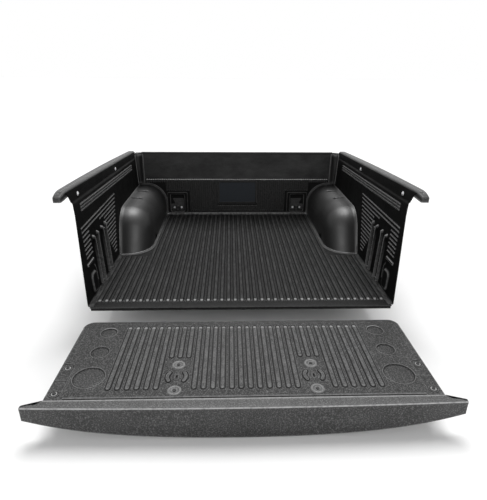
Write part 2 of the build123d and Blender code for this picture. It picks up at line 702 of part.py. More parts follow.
with BuildPart() as rail_cap_right:
    add(rail_form(0.0, 0.0, 0.0))
    # rounded along the top and down the two corners of the rear hood
    top_edges = rail_cap_right.edges().filter_by(
        lambda edge: edge.center().Z > rail_z(edge.center().Y) - 4 and edge.center().Y < RAIL_FRONT - 1
    )
    hood_corners = rail_cap_right.edges().group_by(Axis.Y)[0].filter_by(Axis.Z)
    fillet(top_edges + hood_corners, radius=RAIL_EDGE_RADIUS)
    add(rail_form(RAIL_WALL, RAIL_WALL, 60.0), mode=Mode.SUBTRACT)
    # two grooves along the top
    for groove_x in RAIL_GROOVES_X:
        with BuildSketch(Plane.YZ.offset(groove_x - RAIL_GROOVE_WIDTH / 2)):
            Polygon(
                (RAIL_FRONT - 30, rail_z(RAIL_FRONT - 30) + 5),
                (RAIL_REAR + 30, rail_z(RAIL_REAR + 30) + 5),
                (RAIL_REAR + 30, rail_z(RAIL_REAR + 30) - RAIL_GROOVE_DEPTH),
                (RAIL_FRONT - 30, rail_z(RAIL_FRONT - 30) - RAIL_GROOVE_DEPTH),
                align=None,
            )
        extrude(amount=RAIL_GROOVE_WIDTH, mode=Mode.SUBTRACT)
finish(rail_cap_right, "rail_cap_right")

with BuildPart() as rail_cap_left:
    mirror(rail_cap_right.part, about=Plane.YZ)
finish(rail_cap_left, "rail_cap_left")

with BuildPart() as rail_cap_tape_right:
    with BuildSketch(Plane.YZ.offset(RAIL_INNER_X + 8)):
        Polygon(
            (RAIL_FRONT - 30, rail_z(RAIL_FRONT - 30) - RAIL_WALL),
            (10, rail_z(10) - RAIL_WALL),
            (10, rail_z(10) - RAIL_WALL - TAPE_THICKNESS),
            (RAIL_FRONT - 30, rail_z(RAIL_FRONT - 30) - RAIL_WALL - TAPE_THICKNESS),
            align=None,
        )
    extrude(amount=TAPE_WIDTH)
finish(rail_cap_tape_right, "rail_cap_tape_right")

with BuildPart() as rail_cap_tape_left:
    mirror(rail_cap_tape_right.part, about=Plane.YZ)
finish(rail_cap_tape_left, "rail_cap_tape_left")


# ---- tie-downs ----------------------------------------------------------------------------------

PLATE_FACE_Y = PLATE_BACK_Y - TIE_PLATE_THICKNESS


def tie_down_plate(x):
    """Steel plate in a pocket, with the saddle that the ring turns in."""
    with BuildPart() as plate:
        with BuildSketch(Plane.XZ.offset(-PLATE_BACK_Y)):
            with Locations((x, TIE_PLATE_Z)):
                RectangleRounded(*TIE_PLATE_SIZE, 6)
        extrude(amount=TIE_PLATE_THICKNESS)
        with BuildSketch(Plane.YZ.offset(x - SADDLE_HALF_WIDTH)):
            with Locations((RING_PIVOT_Y, RING_PIVOT_Z)):
                Circle(RING_BAR_RADIUS + 3)
            with Locations(((RING_PIVOT_Y + PLATE_FACE_Y + 1) / 2, RING_PIVOT_Z)):
                Rectangle(PLATE_FACE_Y + 1 - RING_PIVOT_Y, 2 * (RING_BAR_RADIUS + 3))
        extrude(amount=2 * SADDLE_HALF_WIDTH)
        with BuildSketch(Plane.YZ.offset(x - SADDLE_HALF_WIDTH - 1)):
            with Locations((RING_PIVOT_Y, RING_PIVOT_Z)):
                Circle(RING_BAR_RADIUS + RING_BORE_CLEARANCE)
        extrude(amount=2 * SADDLE_HALF_WIDTH + 2, mode=Mode.SUBTRACT)
        with BuildSketch(Plane.XZ.offset(-PLATE_BACK_Y)):
            with Locations((x, TIE_BOLT_Z)):
                with GridLocations(TIE_BOLT_SPACING, 1, 2, 1):
                    Circle(TIE_BOLT_RADIUS + TIE_BOLT_CLEARANCE)
        extrude(amount=TIE_PLATE_THICKNESS + 1, mode=Mode.SUBTRACT)
    return plate


def tie_down_bolts(x):
    """The two hexagon flange bolts of one plate, whose shanks leave through the bulkhead."""
    with BuildPart() as bolts:
        for bolt_x in (x - TIE_BOLT_SPACING / 2, x + TIE_BOLT_SPACING / 2):
            with BuildSketch(Plane.XZ.offset(-PLATE_FACE_Y)):
                with Locations((bolt_x, TIE_BOLT_Z)):
                    Circle(8.5)
            extrude(amount=1.5)
            with BuildSketch(Plane.XZ.offset(-PLATE_FACE_Y)):
                with Locations((bolt_x, TIE_BOLT_Z)):
                    RegularPolygon(6.5, 6, major_radius=False)
            extrude(amount=7)
            for radius, end_y in (
                (TIE_BOLT_SHOULDER_RADIUS, TIE_BOLT_SHOULDER_END_Y),
                (TIE_BOLT_RADIUS, TIE_BOLT_END_Y),
            ):
                with BuildSketch(Plane.XZ.offset(-end_y)):
                    with Locations((bolt_x, TIE_BOLT_Z)):
                        Circle(radius)
                extrude(amount=end_y - PLATE_FACE_Y)
    return bolts


def tie_down_ring(x):
    """D-shaped ring that hangs from its straight bar."""
    with BuildPart() as ring:
        with BuildLine():
            bow = ThreePointArc(
                (x - RING_HALF_WIDTH, RING_PIVOT_Y, RING_PIVOT_Z - RING_DROP + RING_HALF_WIDTH),
                (x, RING_PIVOT_Y, RING_PIVOT_Z - RING_DROP),
                (x + RING_HALF_WIDTH, RING_PIVOT_Y, RING_PIVOT_Z - RING_DROP + RING_HALF_WIDTH),
            )
            Line(bow @ 1, (x + RING_HALF_WIDTH, RING_PIVOT_Y, RING_PIVOT_Z))
            Line((x - RING_HALF_WIDTH, RING_PIVOT_Y, RING_PIVOT_Z), bow @ 0)
        with BuildSketch(
            Plane(origin=(x - RING_HALF_WIDTH, RING_PIVOT_Y, RING_PIVOT_Z), z_dir=(0, 0, -1))
        ):
            Circle(RING_BOW_RADIUS)
        sweep()
        with BuildSketch(Plane.YZ.offset(x - RING_HALF_WIDTH - RING_BAR_RADIUS)):
            with Locations((RING_PIVOT_Y, RING_PIVOT_Z)):
                Circle(RING_BAR_RADIUS)
        extrude(amount=2 * (RING_HALF_WIDTH + RING_BAR_RADIUS))
    return ring


for side, side_name in ((1, "right"), (-1, "left")):
    finish(tie_down_plate(side * POCKET_X), f"tie_down_plate_{side_name}")
    finish(tie_down_bolts(side * POCKET_X), f"tie_down_bolts_{side_name}")
    finish(tie_down_ring(side * POCKET_X), f"tie_down_ring_{side_name}")


# ---- tailgate panel -----------------------------------------------------------------------------

GATE_LENGTH = GATE_HINGE_EDGE - GATE_OUTER_EDGE
GATE_MIDDLE_Y = (GATE_HINGE_EDGE + GATE_OUTER_EDGE) / 2
GATE_UNDER = GATE_TOP - SHEET
BROKEN_RIBS = (6.5, 7.5, 8.5)    # ribs cut short beside the screws, counted from the centreline


def gate_rib_spans(place):
    """Where one tailgate rib runs, by its place counted in pitches from the centreline."""
    if place not in BROKEN_RIBS:
        return [(GATE_RIB_NEAR, GATE_RIB_FAR)]
    spans = [(GATE_RIB_NEAR, GATE_BROKEN_RIB_END)]
    if place != BROKEN_RIBS[1]:
        spans.append(GATE_STUB)
    return spans


with BuildPart() as tailgate_panel:
    with BuildSketch(Plane.XY.offset(GATE_TOP - GATE_SKIRT)) as gate_outline:
        with Locations((0, GATE_MIDDLE_Y)):
            Rectangle(2 * GATE_HALF_WIDTH, GATE_LENGTH)
        hinge_corners = gate_outline.vertices().group_by(Axis.Y)[-1]
        fillet(hinge_corners, radius=GATE_CORNER_RADIUS)
    extrude(amount=GATE_SKIRT)
    # hollow underside
    with BuildSketch(Plane.XY.offset(GATE_TOP - GATE_SKIRT)) as gate_hollow:
        with Locations((0, GATE_MIDDLE_Y)):
            Rectangle(2 * (GATE_HALF_WIDTH - SHEET), GATE_LENGTH - 2 * SHEET)
        inner_corners = gate_hollow.vertices().group_by(Axis.Y)[-1]
        fillet(inner_corners, radius=GATE_CORNER_RADIUS - SHEET)
    extrude(amount=GATE_SKIRT - SHEET, mode=Mode.SUBTRACT)
    # ribs
    with BuildSketch(Plane.XY.offset(GATE_TOP)):
        for rib in range(GATE_RIBS):
            place = rib - (GATE_RIBS - 1) / 2
            for near, far in gate_rib_spans(abs(place)):
                with Locations((place * GATE_RIB_PITCH, (near + far) / 2)):
                    RectangleRounded(GATE_RIB_WIDTH, near - far, 5)
    extrude(amount=GATE_RIB_HEIGHT)
    # round recesses, each a shallow cup in the sheet
    for recess_x, recess_y, recess_radius in GATE_RECESSES:
        with BuildSketch(Plane.XY.offset(GATE_UNDER)):
            with Locations((recess_x, recess_y), (-recess_x, recess_y)):
                Circle(recess_radius + SHEET)
        extrude(amount=-GATE_RECESS_DEPTH)
        with BuildSketch(Plane.XY.offset(GATE_TOP)):
            with Locations((recess_x, recess_y), (-recess_x, recess_y)):
                Circle(recess_radius)
        extrude(amount=-GATE_RECESS_DEPTH, mode=Mode.SUBTRACT)
    # low flange at each end, wider round the two edge screws
    for amount, top, grow in ((GATE_EDGE_DROP, GATE_UNDER, SHEET), (GATE_EDGE_DROP, GATE_TOP, 0.0)):
        with BuildSketch(Plane.XY.offset(top)):
            for side in (-1, 1):
                strip_length = GATE_EDGE_STRIP_REAR - GATE_OUTER_EDGE
                strip_x = side * (GATE_HALF_WIDTH + GATE_EDGE_STRIP_X) / 2
                with Locations((strip_x, GATE_OUTER_EDGE + strip_length / 2)):
                    Rectangle(GATE_HALF_WIDTH - GATE_EDGE_STRIP_X, strip_length)
                for notch_y in GATE_EDGE_SCREWS_Y:
                    with Locations((side * GATE_EDGE_SCREW_X, notch_y)):
                        Circle(GATE_EDGE_NOTCH)
            if grow:
                offset(amount=grow)
            with Locations((0, GATE_MIDDLE_Y)):
                Rectangle(2 * GATE_HALF_WIDTH, GATE_LENGTH, mode=Mode.INTERSECT)
        extrude(amount=-amount, mode=Mode.ADD if grow else Mode.SUBTRACT)
    # screw holes, and a drain slot between each pair of middle screws
    with BuildSketch(Plane.XY.offset(GATE_TOP)):
        for hole_x in (-GATE_SCREW_X, GATE_SCREW_X):
            with Locations(*[(hole_x, hole_y) for hole_y in GATE_SCREWS_Y]):
                Circle(SHEET_HOLE_RADIUS)
            with Locations((hole_x, GATE_DRAIN_Y)):
                SlotOverall(24, 9, rotation=90)
        for hole_x in (-GATE_EDGE_SCREW_X, GATE_EDGE_SCREW_X):
            with Locations(*[(hole_x, hole_y) for hole_y in GATE_EDGE_SCREWS_Y]):
                Circle(SHEET_HOLE_RADIUS)
    extrude(amount=-2 * SHEET - GATE_EDGE_DROP, mode=Mode.SUBTRACT)
finish(tailgate_panel, "tailgate_panel")


# ---- tailgate fasteners -------------------------------------------------------------------------

def gate_group(form, screw_x, screws_y, z):
    """One fastener form at the four places of a rectangle on the tailgate."""
    with BuildPart() as group:
        for x in (-screw_x, screw_x):
            with Locations(*[(x, y, z) for y in screws_y]):
                add(form)
    return group


SEAT_Z = GATE_TOP + WASHER_THICKNESS
EDGE_Z = GATE_TOP - GATE_EDGE_DROP
EDGE_SEAT_Z = EDGE_Z + WASHER_THICKNESS
EDGE_UNDER = GATE_UNDER - GATE_EDGE_DROP
finish(gate_group(CUP_WASHER, GATE_SCREW_X, GATE_SCREWS_Y, GATE_TOP), "tailgate_cup_washers")
finish(gate_group(SCREW, GATE_SCREW_X, GATE_SCREWS_Y, SEAT_Z), "tailgate_center_screws")
finish(gate_group(WASHER, GATE_EDGE_SCREW_X, GATE_EDGE_SCREWS_Y, EDGE_Z), "tailgate_edge_washers")
finish(gate_group(SCREW, GATE_EDGE_SCREW_X, GATE_EDGE_SCREWS_Y, EDGE_SEAT_Z), "tailgate_edge_screws")

with BuildPart() as tailgate_well_nuts:
    add(gate_group(WELL_NUT, GATE_SCREW_X, GATE_SCREWS_Y, GATE_UNDER).part)
    add(gate_group(WELL_NUT, GATE_EDGE_SCREW_X, GATE_EDGE_SCREWS_Y, EDGE_UNDER).part)
finish(tailgate_well_nuts, "tailgate_well_nuts")


# ---- tailgate cap -------------------------------------------------------------------------------

with BuildPart() as tailgate_cap:
    add(cap_form(0.0, 0.0, 0.0))
    # rounded down the two front corners, then along the top of the front and ends
    front_corners = tailgate_cap.edges().filter_by(Axis.Z).filter_by(
        lambda edge: edge.center().Y < CAP_CORNER[1] + 1
    )
    fillet(front_corners, radius=CAP_CORNER_RADIUS)
    top_edges = tailgate_cap.faces().sort_by(Axis.Z)[-1].outer_wire().edges()
    front_edges = top_edges.filter_by(lambda edge: edge.center().Y < CAP_SHOULDER[1] - 5)
    fillet(front_edges, radius=CAP_EDGE_RADIUS)
    # the hollow is open below and at the back, where the tailgate goes in
    add(cap_form(CAP_WALL, CAP_WALL, 60.0), mode=Mode.SUBTRACT)
    with BuildSketch(Plane.XY.offset(CAP_CUTTER_BOTTOM)):
        with Locations((0, CAP_BACK + 20)):
            Rectangle(4 * CAP_CORNER[0], 40)
    extrude(amount=CAP_TOP - CAP_WALL - CAP_CUTTER_BOTTOM, mode=Mode.SUBTRACT)
finish(tailgate_cap, "tailgate_cap")

with BuildPart() as tailgate_cap_tape:
    with BuildSketch(Plane.XY.offset(CAP_TOP - CAP_WALL)):
        with Locations((0, -637.0)):
            Rectangle(2 * 730.0, TAPE_WIDTH)
    extrude(amount=-TAPE_THICKNESS)
finish(tailgate_cap_tape, "tailgate_cap_tape")
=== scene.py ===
import math
from math import cos, sin

import bmesh
import bpy
import numpy as np
from mathutils import Matrix, Vector
from mathutils.geometry import delaunay_2d_cdt


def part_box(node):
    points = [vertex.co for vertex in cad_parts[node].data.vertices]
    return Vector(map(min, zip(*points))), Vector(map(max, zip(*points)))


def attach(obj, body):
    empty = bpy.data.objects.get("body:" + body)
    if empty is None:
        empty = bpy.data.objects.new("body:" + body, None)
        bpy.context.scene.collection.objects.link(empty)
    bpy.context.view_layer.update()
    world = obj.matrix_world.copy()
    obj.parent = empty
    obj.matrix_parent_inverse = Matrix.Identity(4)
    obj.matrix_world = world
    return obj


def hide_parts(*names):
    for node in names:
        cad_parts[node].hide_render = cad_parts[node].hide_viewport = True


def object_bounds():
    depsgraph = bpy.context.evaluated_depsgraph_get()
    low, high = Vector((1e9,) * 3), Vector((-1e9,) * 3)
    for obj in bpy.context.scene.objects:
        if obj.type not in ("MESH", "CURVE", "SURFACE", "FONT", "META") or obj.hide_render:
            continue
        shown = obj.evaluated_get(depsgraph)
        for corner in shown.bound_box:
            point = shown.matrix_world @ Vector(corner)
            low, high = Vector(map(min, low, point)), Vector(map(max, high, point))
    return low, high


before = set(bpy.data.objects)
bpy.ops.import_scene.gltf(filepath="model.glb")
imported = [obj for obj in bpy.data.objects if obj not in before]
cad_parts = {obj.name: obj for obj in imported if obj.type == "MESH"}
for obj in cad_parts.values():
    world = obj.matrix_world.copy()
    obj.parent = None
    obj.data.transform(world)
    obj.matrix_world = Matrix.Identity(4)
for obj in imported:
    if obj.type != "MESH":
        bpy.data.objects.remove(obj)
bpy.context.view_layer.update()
scene = bpy.context.scene

# A moulded liner for a pickup bed. Shapes below are worked in millimetres in the CAD model's frame:
# X across the bed, +Y forward to the cab, +Z up, and become metres when a mesh is made.

MM = 0.001
SHEET = 4  # thickness of the moulded panels


def edges_of(node):
    """Lowest and highest corner of a CAD node in millimetres."""
    low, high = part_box(node)
    return [c / MM for c in low], [c / MM for c in high]


floor_low, floor_high = edges_of("floor_panel")
gate_low, gate_high = edges_of("tailgate_panel")
rail_low, rail_high = edges_of("rail_cap_right")
cap_low, cap_high = edges_of("tailgate_cap")
arch_high = edges_of("arch_cover_right")[1]
side_high = edges_of("side_panel_right")[1]

FLOOR_TOP = SHEET
BED_LENGTH = floor_high[1]
SCREW_HOLE = 3.6
QUARTER = math.pi / 2
SIDES = ((1, "right"), (-1, "left"))


def wall_x(z):
    """Inner face of the right side wall."""
    return 758 + 0.05 * z


def shoulder_z(y):
    """Height of the line where the side wall turns into the upper band."""
    return 512 - 0.0383 * y


def rail_z(y):
    """Height of the rail caps' top."""
    return 586 - 0.0515 * y


# ---- mesh tools ----

RIM_ANGLE = 1.3  # radians; a sharper edge of a thin wall counts as its rim, which gets neither the painted edge highlight nor the painted hollow shade
BEND_GAIN, BEND_FLOOR = 2.2, 0.12


def mark_bends(mesh, rims):
    """Stores how sharply the surface bends out (edge) and in (hollow) at each point but the rims."""
    count = len(mesh.vertices)
    spots, normals = np.empty(count * 3), np.empty(count * 3)
    mesh.vertices.foreach_get("co", spots)
    mesh.vertex_normals.foreach_get("vector", normals)
    spots, normals = spots.reshape(-1, 3), normals.reshape(-1, 3)
    pairs = np.empty(len(mesh.edges) * 2, np.int32)
    mesh.edges.foreach_get("vertices", pairs)
    a, b = pairs.reshape(-1, 2).T
    gap = spots[b] - spots[a]
    gap /= np.maximum(np.linalg.norm(gap, axis=1), 1e-9)[:, None]
    for name, way in (("edge", -1), ("hollow", 1)):
        bend = np.zeros(count)
        np.maximum.at(bend, a, way * (normals[a] * gap).sum(axis=1))
        np.maximum.at(bend, b, -way * (normals[b] * gap).sum(axis=1))
        bend[rims] = 0
        layer = mesh.attributes.new(name, "FLOAT", "POINT")
        layer.data.foreach_set("value", np.clip(bend * BEND_GAIN - BEND_FLOOR, 0, 1))


class Body:
    """Points and faces of one piece, in millimetres."""

    def __init__(self):
        self.points = []
        self.faces = []

    def row(self, points):
        """Adds points and returns their numbers."""
        first = len(self.points)
        self.points.extend(points)
        return list(range(first, len(self.points)))

    def band(self, a, b, closed=True):
        """Quads between two rows of the same length."""
        count = len(a)
        for i in range(count if closed else count - 1):
            j = (i + 1) % count
            self.faces.append((a[i], a[j], b[j], b[i]))

    def grid(self, rows, closed=False):
        """Quads over a grid of points; returns the rows' numbers."""
        rings = [self.row(points) for points in rows]
        for a, b in zip(rings, rings[1:]):
            self.band(a, b, closed)
        return rings

    def tube(self, rows):
        """Quads round a run of closed sections, with a face on each end."""
        rings = self.grid(rows, closed=True)
        self.faces += [tuple(rings[0]), tuple(rings[-1])]

    def shell(self, front, back):
        """Two grids of the same size, joined all round their edges."""
        f, b = self.grid(front), self.grid(back)
        self.band(f[0], b[0], closed=False)
        self.band(f[-1], b[-1], closed=False)
        self.sides(f, b)

    def sides(self, f, b):
        """Quads between the first columns and the last columns of two grids."""
        for column in (0, -1):
            self.band([r[column] for r in f], [r[column] for r in b], closed=False)

    def make(self, name, body, slot, material, replaces=(), mirrored=False, sharp=40, plain_rim=False):
        """Makes the mesh object, rides it on its body and gives it its material."""
        points = np.array(self.points, float) * MM
        if mirrored:
            points[:, 0] *= -1
        mesh = bpy.data.meshes.new(name)
        mesh.from_pydata([tuple(p) for p in points], [], [f for f in self.faces if len(set(f)) > 2])
        work = bmesh.new()
        work.from_mesh(mesh)
        bmesh.ops.remove_doubles(work, verts=work.verts, dist=2e-6)
        bmesh.ops.dissolve_degenerate(work, dist=1e-6, edges=work.edges)
        bmesh.ops.recalc_face_normals(work, faces=work.faces)
        work.verts.index_update()
        steep = [e for e in work.edges if plain_rim and e.is_manifold and e.calc_face_angle(0) > RIM_ANGLE]
        rims = sorted({v.index for e in steep for v in e.verts})
        work.to_mesh(mesh)
        work.free()
        mesh.polygons.foreach_set("use_smooth", [True] * len(mesh.polygons))
        mesh.set_sharp_from_angle(angle=math.radians(sharp))
        mark_bends(mesh, rims)
        mesh.materials.append(material)
        piece = bpy.data.objects.new(name, mesh)
        scene.collection.objects.link(piece)
        weigh = piece.modifiers.new("flat faces stay flat", "WEIGHTED_NORMAL")
        weigh.keep_sharp = True
        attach(piece, body)
        if replaces:
            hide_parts(*replaces)
        return piece


def bead(path, width, ramps=(1, 1), arc=4):
    """Outline round a path, as a function of its offset; ramps lengthen the slopes at its two ends."""
    path = np.array(path, float)

    def outline(grow):
        line = path.copy()
        start = (line[0] - line[1]) / np.linalg.norm(line[0] - line[1])
        end = (line[-1] - line[-2]) / np.linalg.norm(line[-1] - line[-2])
        line[0] += start * min(grow, 0) * (ramps[0] - 1)
        line[-1] += end * min(grow, 0) * (ramps[1] - 1)
        half = width / 2 + grow
        along = np.gradient(line, axis=0)
        along /= np.linalg.norm(along, axis=1)[:, None]
        across = np.stack([along[:, 1], -along[:, 0]], axis=1) * half
        ends = (
            (line[0], across[0], -along[0], line[1:-1] + across[1:-1]),
            (line[-1], -across[-1], along[-1], (line[1:-1] - across[1:-1])[::-1]),
        )
        points = []
        for centre, side, way, flank in ends:
            for k in range(arc + 1):
                turn = math.pi * k / arc
                points.append(centre - side * cos(turn) + way * half * sin(turn))
            points.extend(flank)
        return [tuple(p) for p in points]

    return outline


def bar(u, v, width, height, radius, arc=4):
    """Outline of a rounded rectangle, as a function of its offset."""

    def outline(grow):
        a, b = width / 2 + grow, height / 2 + grow
        r = max(min(radius + grow, a, b), 0.05)
        points = []
        for quarter, (su, sv) in enumerate(((1, 1), (-1, 1), (-1, -1), (1, -1))):
            for k in range(arc + 1):
                angle = QUARTER * (quarter + k / arc)
                points.append((su * (a - r) + r * cos(angle), sv * (b - r) + r * sin(angle)))
        return [(u + p, v + q) for p, q in points]

    return outline


def disc(u, v, radius, count=48):
    """Outline of a circle, as a function of its offset."""

    def outline(grow):
        turns = (2 * math.pi * k / count for k in range(count))
        return [(u + (radius + grow) * cos(t), v + (radius + grow) * sin(t)) for t in turns]

    return outline


def level_place(top):
    """Where the points of a level panel lie, from their height over its top."""
    return lambda u, v, h: (u, v, top + h)


def mirror(corners):
    """The other half of a symmetric outline, in the order that goes on round it."""
    return [(-corner[0], *corner[1:]) for corner in reversed(corners)]


def around(corners, arc=6):
    """Outline of a polygon with rounded corners (u, v, radius), as a function of its offset."""
    points = []
    count = len(corners)
    for i, (u, v, radius) in enumerate(corners):
        here = np.array((u, v), float)
        before = np.array(corners[i - 1][:2]) - here
        after = np.array(corners[(i + 1) % count][:2]) - here
        before /= np.linalg.norm(before)
        after /= np.linalg.norm(after)
        half = math.acos(max(-1, min(1, float(before @ after)))) / 2
        if radius <= 0 or math.tan(half) > 1e4:
            points.append(here)
            continue
        centre = here + (before + after) / np.linalg.norm(before + after) * radius / sin(half)
        first = here + before * radius / math.tan(half) - centre
        last = here + after * radius / math.tan(half) - centre
        a0, a1 = math.atan2(first[1], first[0]), math.atan2(last[1], last[0])
        sweep = (a1 - a0 + math.pi) % (2 * math.pi) - math.pi
        for k in range(arc + 1):
            angle = a0 + sweep * k / arc
            points.append(centre + radius * np.array((cos(angle), sin(angle))))
    points = np.array(points)
    ahead = np.roll(points, -1, axis=0) - points
    ahead /= np.linalg.norm(ahead, axis=1)[:, None]
    behind = np.roll(ahead, 1, axis=0)
    out = np.stack([ahead[:, 1] + behind[:, 1], -ahead[:, 0] - behind[:, 0]], axis=1)
    out *= 2 / (out ** 2).sum(axis=1)[:, None]
    ring = np.roll(points, -1, axis=0)
    if (points[:, 0] * ring[:, 1] - points[:, 1] * ring[:, 0]).sum() < 0:
        out = -out

    def outline(grow):
        return [tuple(p) for p in points + out * grow]

    return outline


def fill(body, place, height, rings, creases=()):
    """Triangles inside the first ring and outside the others, at one height."""
    flat = [p for outline, _ in rings for p in outline]
    numbers = [n for _, ids in rings for n in ids]
    edges = []
    first = 0
    for outline, _ in rings:
        count = len(outline)
        edges += [(first + i, first + (i + 1) % count) for i in range(count)]
        first += count
    bounds = len(edges)
    for line in creases:
        ids = body.row([place(u, v, height) for u, v in line])
        edges += [(first + i, first + i + 1) for i in range(len(line) - 1)]
        flat += line
        numbers += ids
        first += len(line)
    points, _, faces, origin, _, _ = delaunay_2d_cdt([Vector(p) for p in flat], edges, [], 0, 1e-4)
    ids = []
    for point, source in zip(points, origin):
        ids.append(numbers[source[0]] if source else body.row([place(point.x, point.y, height)])[0])
    corners = np.array([tuple(p) for p in points])
    faces = np.array(faces)
    middle = corners[faces].mean(axis=1)
    flat = np.array(flat)
    a, b = flat[[e[0] for e in edges[:bounds]]], flat[[e[1] for e in edges[:bounds]]]
    inside = np.zeros(len(middle), int)
    for (au, av), (bu, bv) in zip(a, b):
        if av != bv:
            over = (av > middle[:, 1]) != (bv > middle[:, 1])
            inside += over & (middle[:, 0] < (bu - au) * (middle[:, 1] - av) / (bv - av) + au)
    for face in faces[inside % 2 == 1]:
        body.faces.append(tuple(ids[i] for i in face))


GUARD = 1.2  # flat strip kept on both sides of a form's slopes, so that their shading doesn't spread


def loft(body, place, outline, steps, height=0):
    """Rings along an outline's steps (offset, rise), joined by quads; each is its outline and its numbers."""
    made = []
    for grow, rise in steps:
        line = outline(grow)
        made.append((line, body.row([place(u, v, height + rise) for u, v in line])))
    for (_, a), (_, b) in zip(made, made[1:]):
        body.band(a, b)
    return made


def screw_hole(u, v, depth=SHEET, radius=SCREW_HOLE):
    """A round hole through a panel, as a form."""
    return (disc(u, v, radius, 16), [(0, 0), (0, -depth)], "hole")


def relief(body, place, height, rim, features, creases=()):
    """Fills a region round the forms that rise from it or sink into it; returns the holes' last rings.

    A form is an outline, its steps, and either the forms inside it or the word hole.
    """
    rings, through = [rim], []
    for feature in features:
        outline, steps = feature[0], list(feature[1])
        inside = feature[2] if len(feature) > 2 else ()
        steps.insert(0, (steps[0][0] + GUARD, steps[0][1]))
        if inside != "hole":
            steps.append((steps[-1][0] - GUARD, steps[-1][1]))
        made = loft(body, place, outline, steps, height)
        rings.append(made[0])
        if inside == "hole":
            through.append(made[-1])
        elif inside:
            through += relief(body, place, height + steps[-1][1], made[-1], inside)
        else:
            body.faces.append(tuple(made[-1][1]))
    fill(body, place, height, rings, creases)
    return through


def moulding(place, outline, steps, features, back=(), creases=()):
    """Closed sheet: steps lead from the front's rim round the edge to the back's rim."""
    body = Body()
    made = loft(body, place, outline, steps)
    holes = relief(body, place, steps[0][1], made[0], features, creases)
    base = steps[-1][1]
    rings = [made[-1], *holes]
    for outline_at, rises in back:
        loops = loft(body, place, outline_at, rises, base)
        body.faces.append(tuple(loops[-1][1]))
        rings.append(loops[0])
    fill(body, place, base, rings, creases)
    return body


def spaced(low, high, count):
    """Evenly spaced numbers with both ends."""
    return [low + (high - low) * k / (count - 1) for k in range(count)]


# ---- materials ----

class Nodes:
    """Adds and links the shader nodes of a new material, or of the world."""

    def __init__(self, name, world=False):
        self.owner = (bpy.data.worlds if world else bpy.data.materials).new(name)
        self.owner.use_nodes = True
        self.tree = self.owner.node_tree
        self.shader = self.tree.nodes["Background" if world else "Principled BSDF"]
        self.place = self.add("TexCoord").outputs["Generated" if world else "Object"]

    def add(self, kind, numbers=None, **settings):
        """Adds a node with numbers on its sockets and values for its settings."""
        node = self.tree.nodes.new("ShaderNode" + kind)
        for key, value in settings.items():
            setattr(node, key, value)
        for key, value in (numbers or {}).items():
            node.inputs[key].default_value = value
        return node

    def link(self, source, target):
        self.tree.links.new(source, target)

    def axes(self):
        """The place's three coordinates."""
        split = self.add("SeparateXYZ")
        self.link(self.place, split.inputs["Vector"])
        return split.outputs

    def stretched(self, scale):
        node = self.add("Mapping", {"Scale": scale})
        self.link(self.place, node.inputs["Vector"])
        return node.outputs["Vector"]

    def noise(self, scale, detail=3, vector=None, roughness=0.5):
        node = self.add("TexNoise", {"Scale": scale, "Detail": detail, "Roughness": roughness})
        self.link(vector or self.place, node.inputs["Vector"])
        return node.outputs["Fac"]

    def cells(self, scale):
        node = self.add("TexVoronoi", {"Scale": scale})
        self.link(self.place, node.inputs["Vector"])
        return node.outputs["Distance"]

    def ramp(self, value, stops):
        node = self.add("ValToRGB")
        while len(node.color_ramp.elements) < len(stops):
            node.color_ramp.elements.new(0.5)
        for element, (at, colour) in zip(node.color_ramp.elements, stops):
            element.position = at
            element.color = (*colour, 1)
        self.link(value, node.inputs["Fac"])
        return node.outputs["Color"]

    def span(self, value, low, high, to_low=0, to_high=1):
        """Value taken from one range to another, clamped to its ends."""
        node = self.add("MapRange", {
            "From Min": low, "From Max": high, "To Min": to_low, "To Max": to_high})
        self.link(value, node.inputs["Value"])
        return node.outputs["Result"]

    def window(self, value, low, high, fade):
        """One between two places in millimetres, nothing outside them."""
        rising = self.span(value, low * MM, (low + fade) * MM)
        return self.maths("MULTIPLY", rising, self.span(value, high * MM, (high + fade) * MM, 1, 0))

    def mask(self, name):
        """A measure stored on the mesh by mark_bends."""
        return self.add("Attribute", attribute_name=name).outputs["Fac"]

    def maths(self, kind, a, b):
        node = self.add("Math", operation=kind)
        for i, value in enumerate((a, b)):
            if isinstance(value, (int, float)):
                node.inputs[i].default_value = value
            else:
                self.link(value, node.inputs[i])
        return node.outputs["Value"]

    def mix(self, factor, a, b):
        node = self.add("Mix", data_type="RGBA")
        self.link(factor, node.inputs["Factor"])
        for socket, value in ((node.inputs[6], a), (node.inputs[7], b)):
            if isinstance(value, tuple):
                socket.default_value = (*value, 1)
            else:
                self.link(value, socket)
        return node.outputs[2]

    def bump(self, height, strength, distance, under=None):
        node = self.add("Bump", {"Strength": strength, "Distance": distance})
        self.link(height, node.inputs["Height"])
        if under is not None:
            self.link(under, node.inputs["Normal"])
        return node.outputs["Normal"]


def grey(value, blue=0):
    """Colour of a grey, a little bluer if asked."""
    return (value, value * (1 + blue * 0.4), value * (1 + blue))


HOLLOW_SHADE = 0.92  # share of painted shade that darkens the deepest hollows
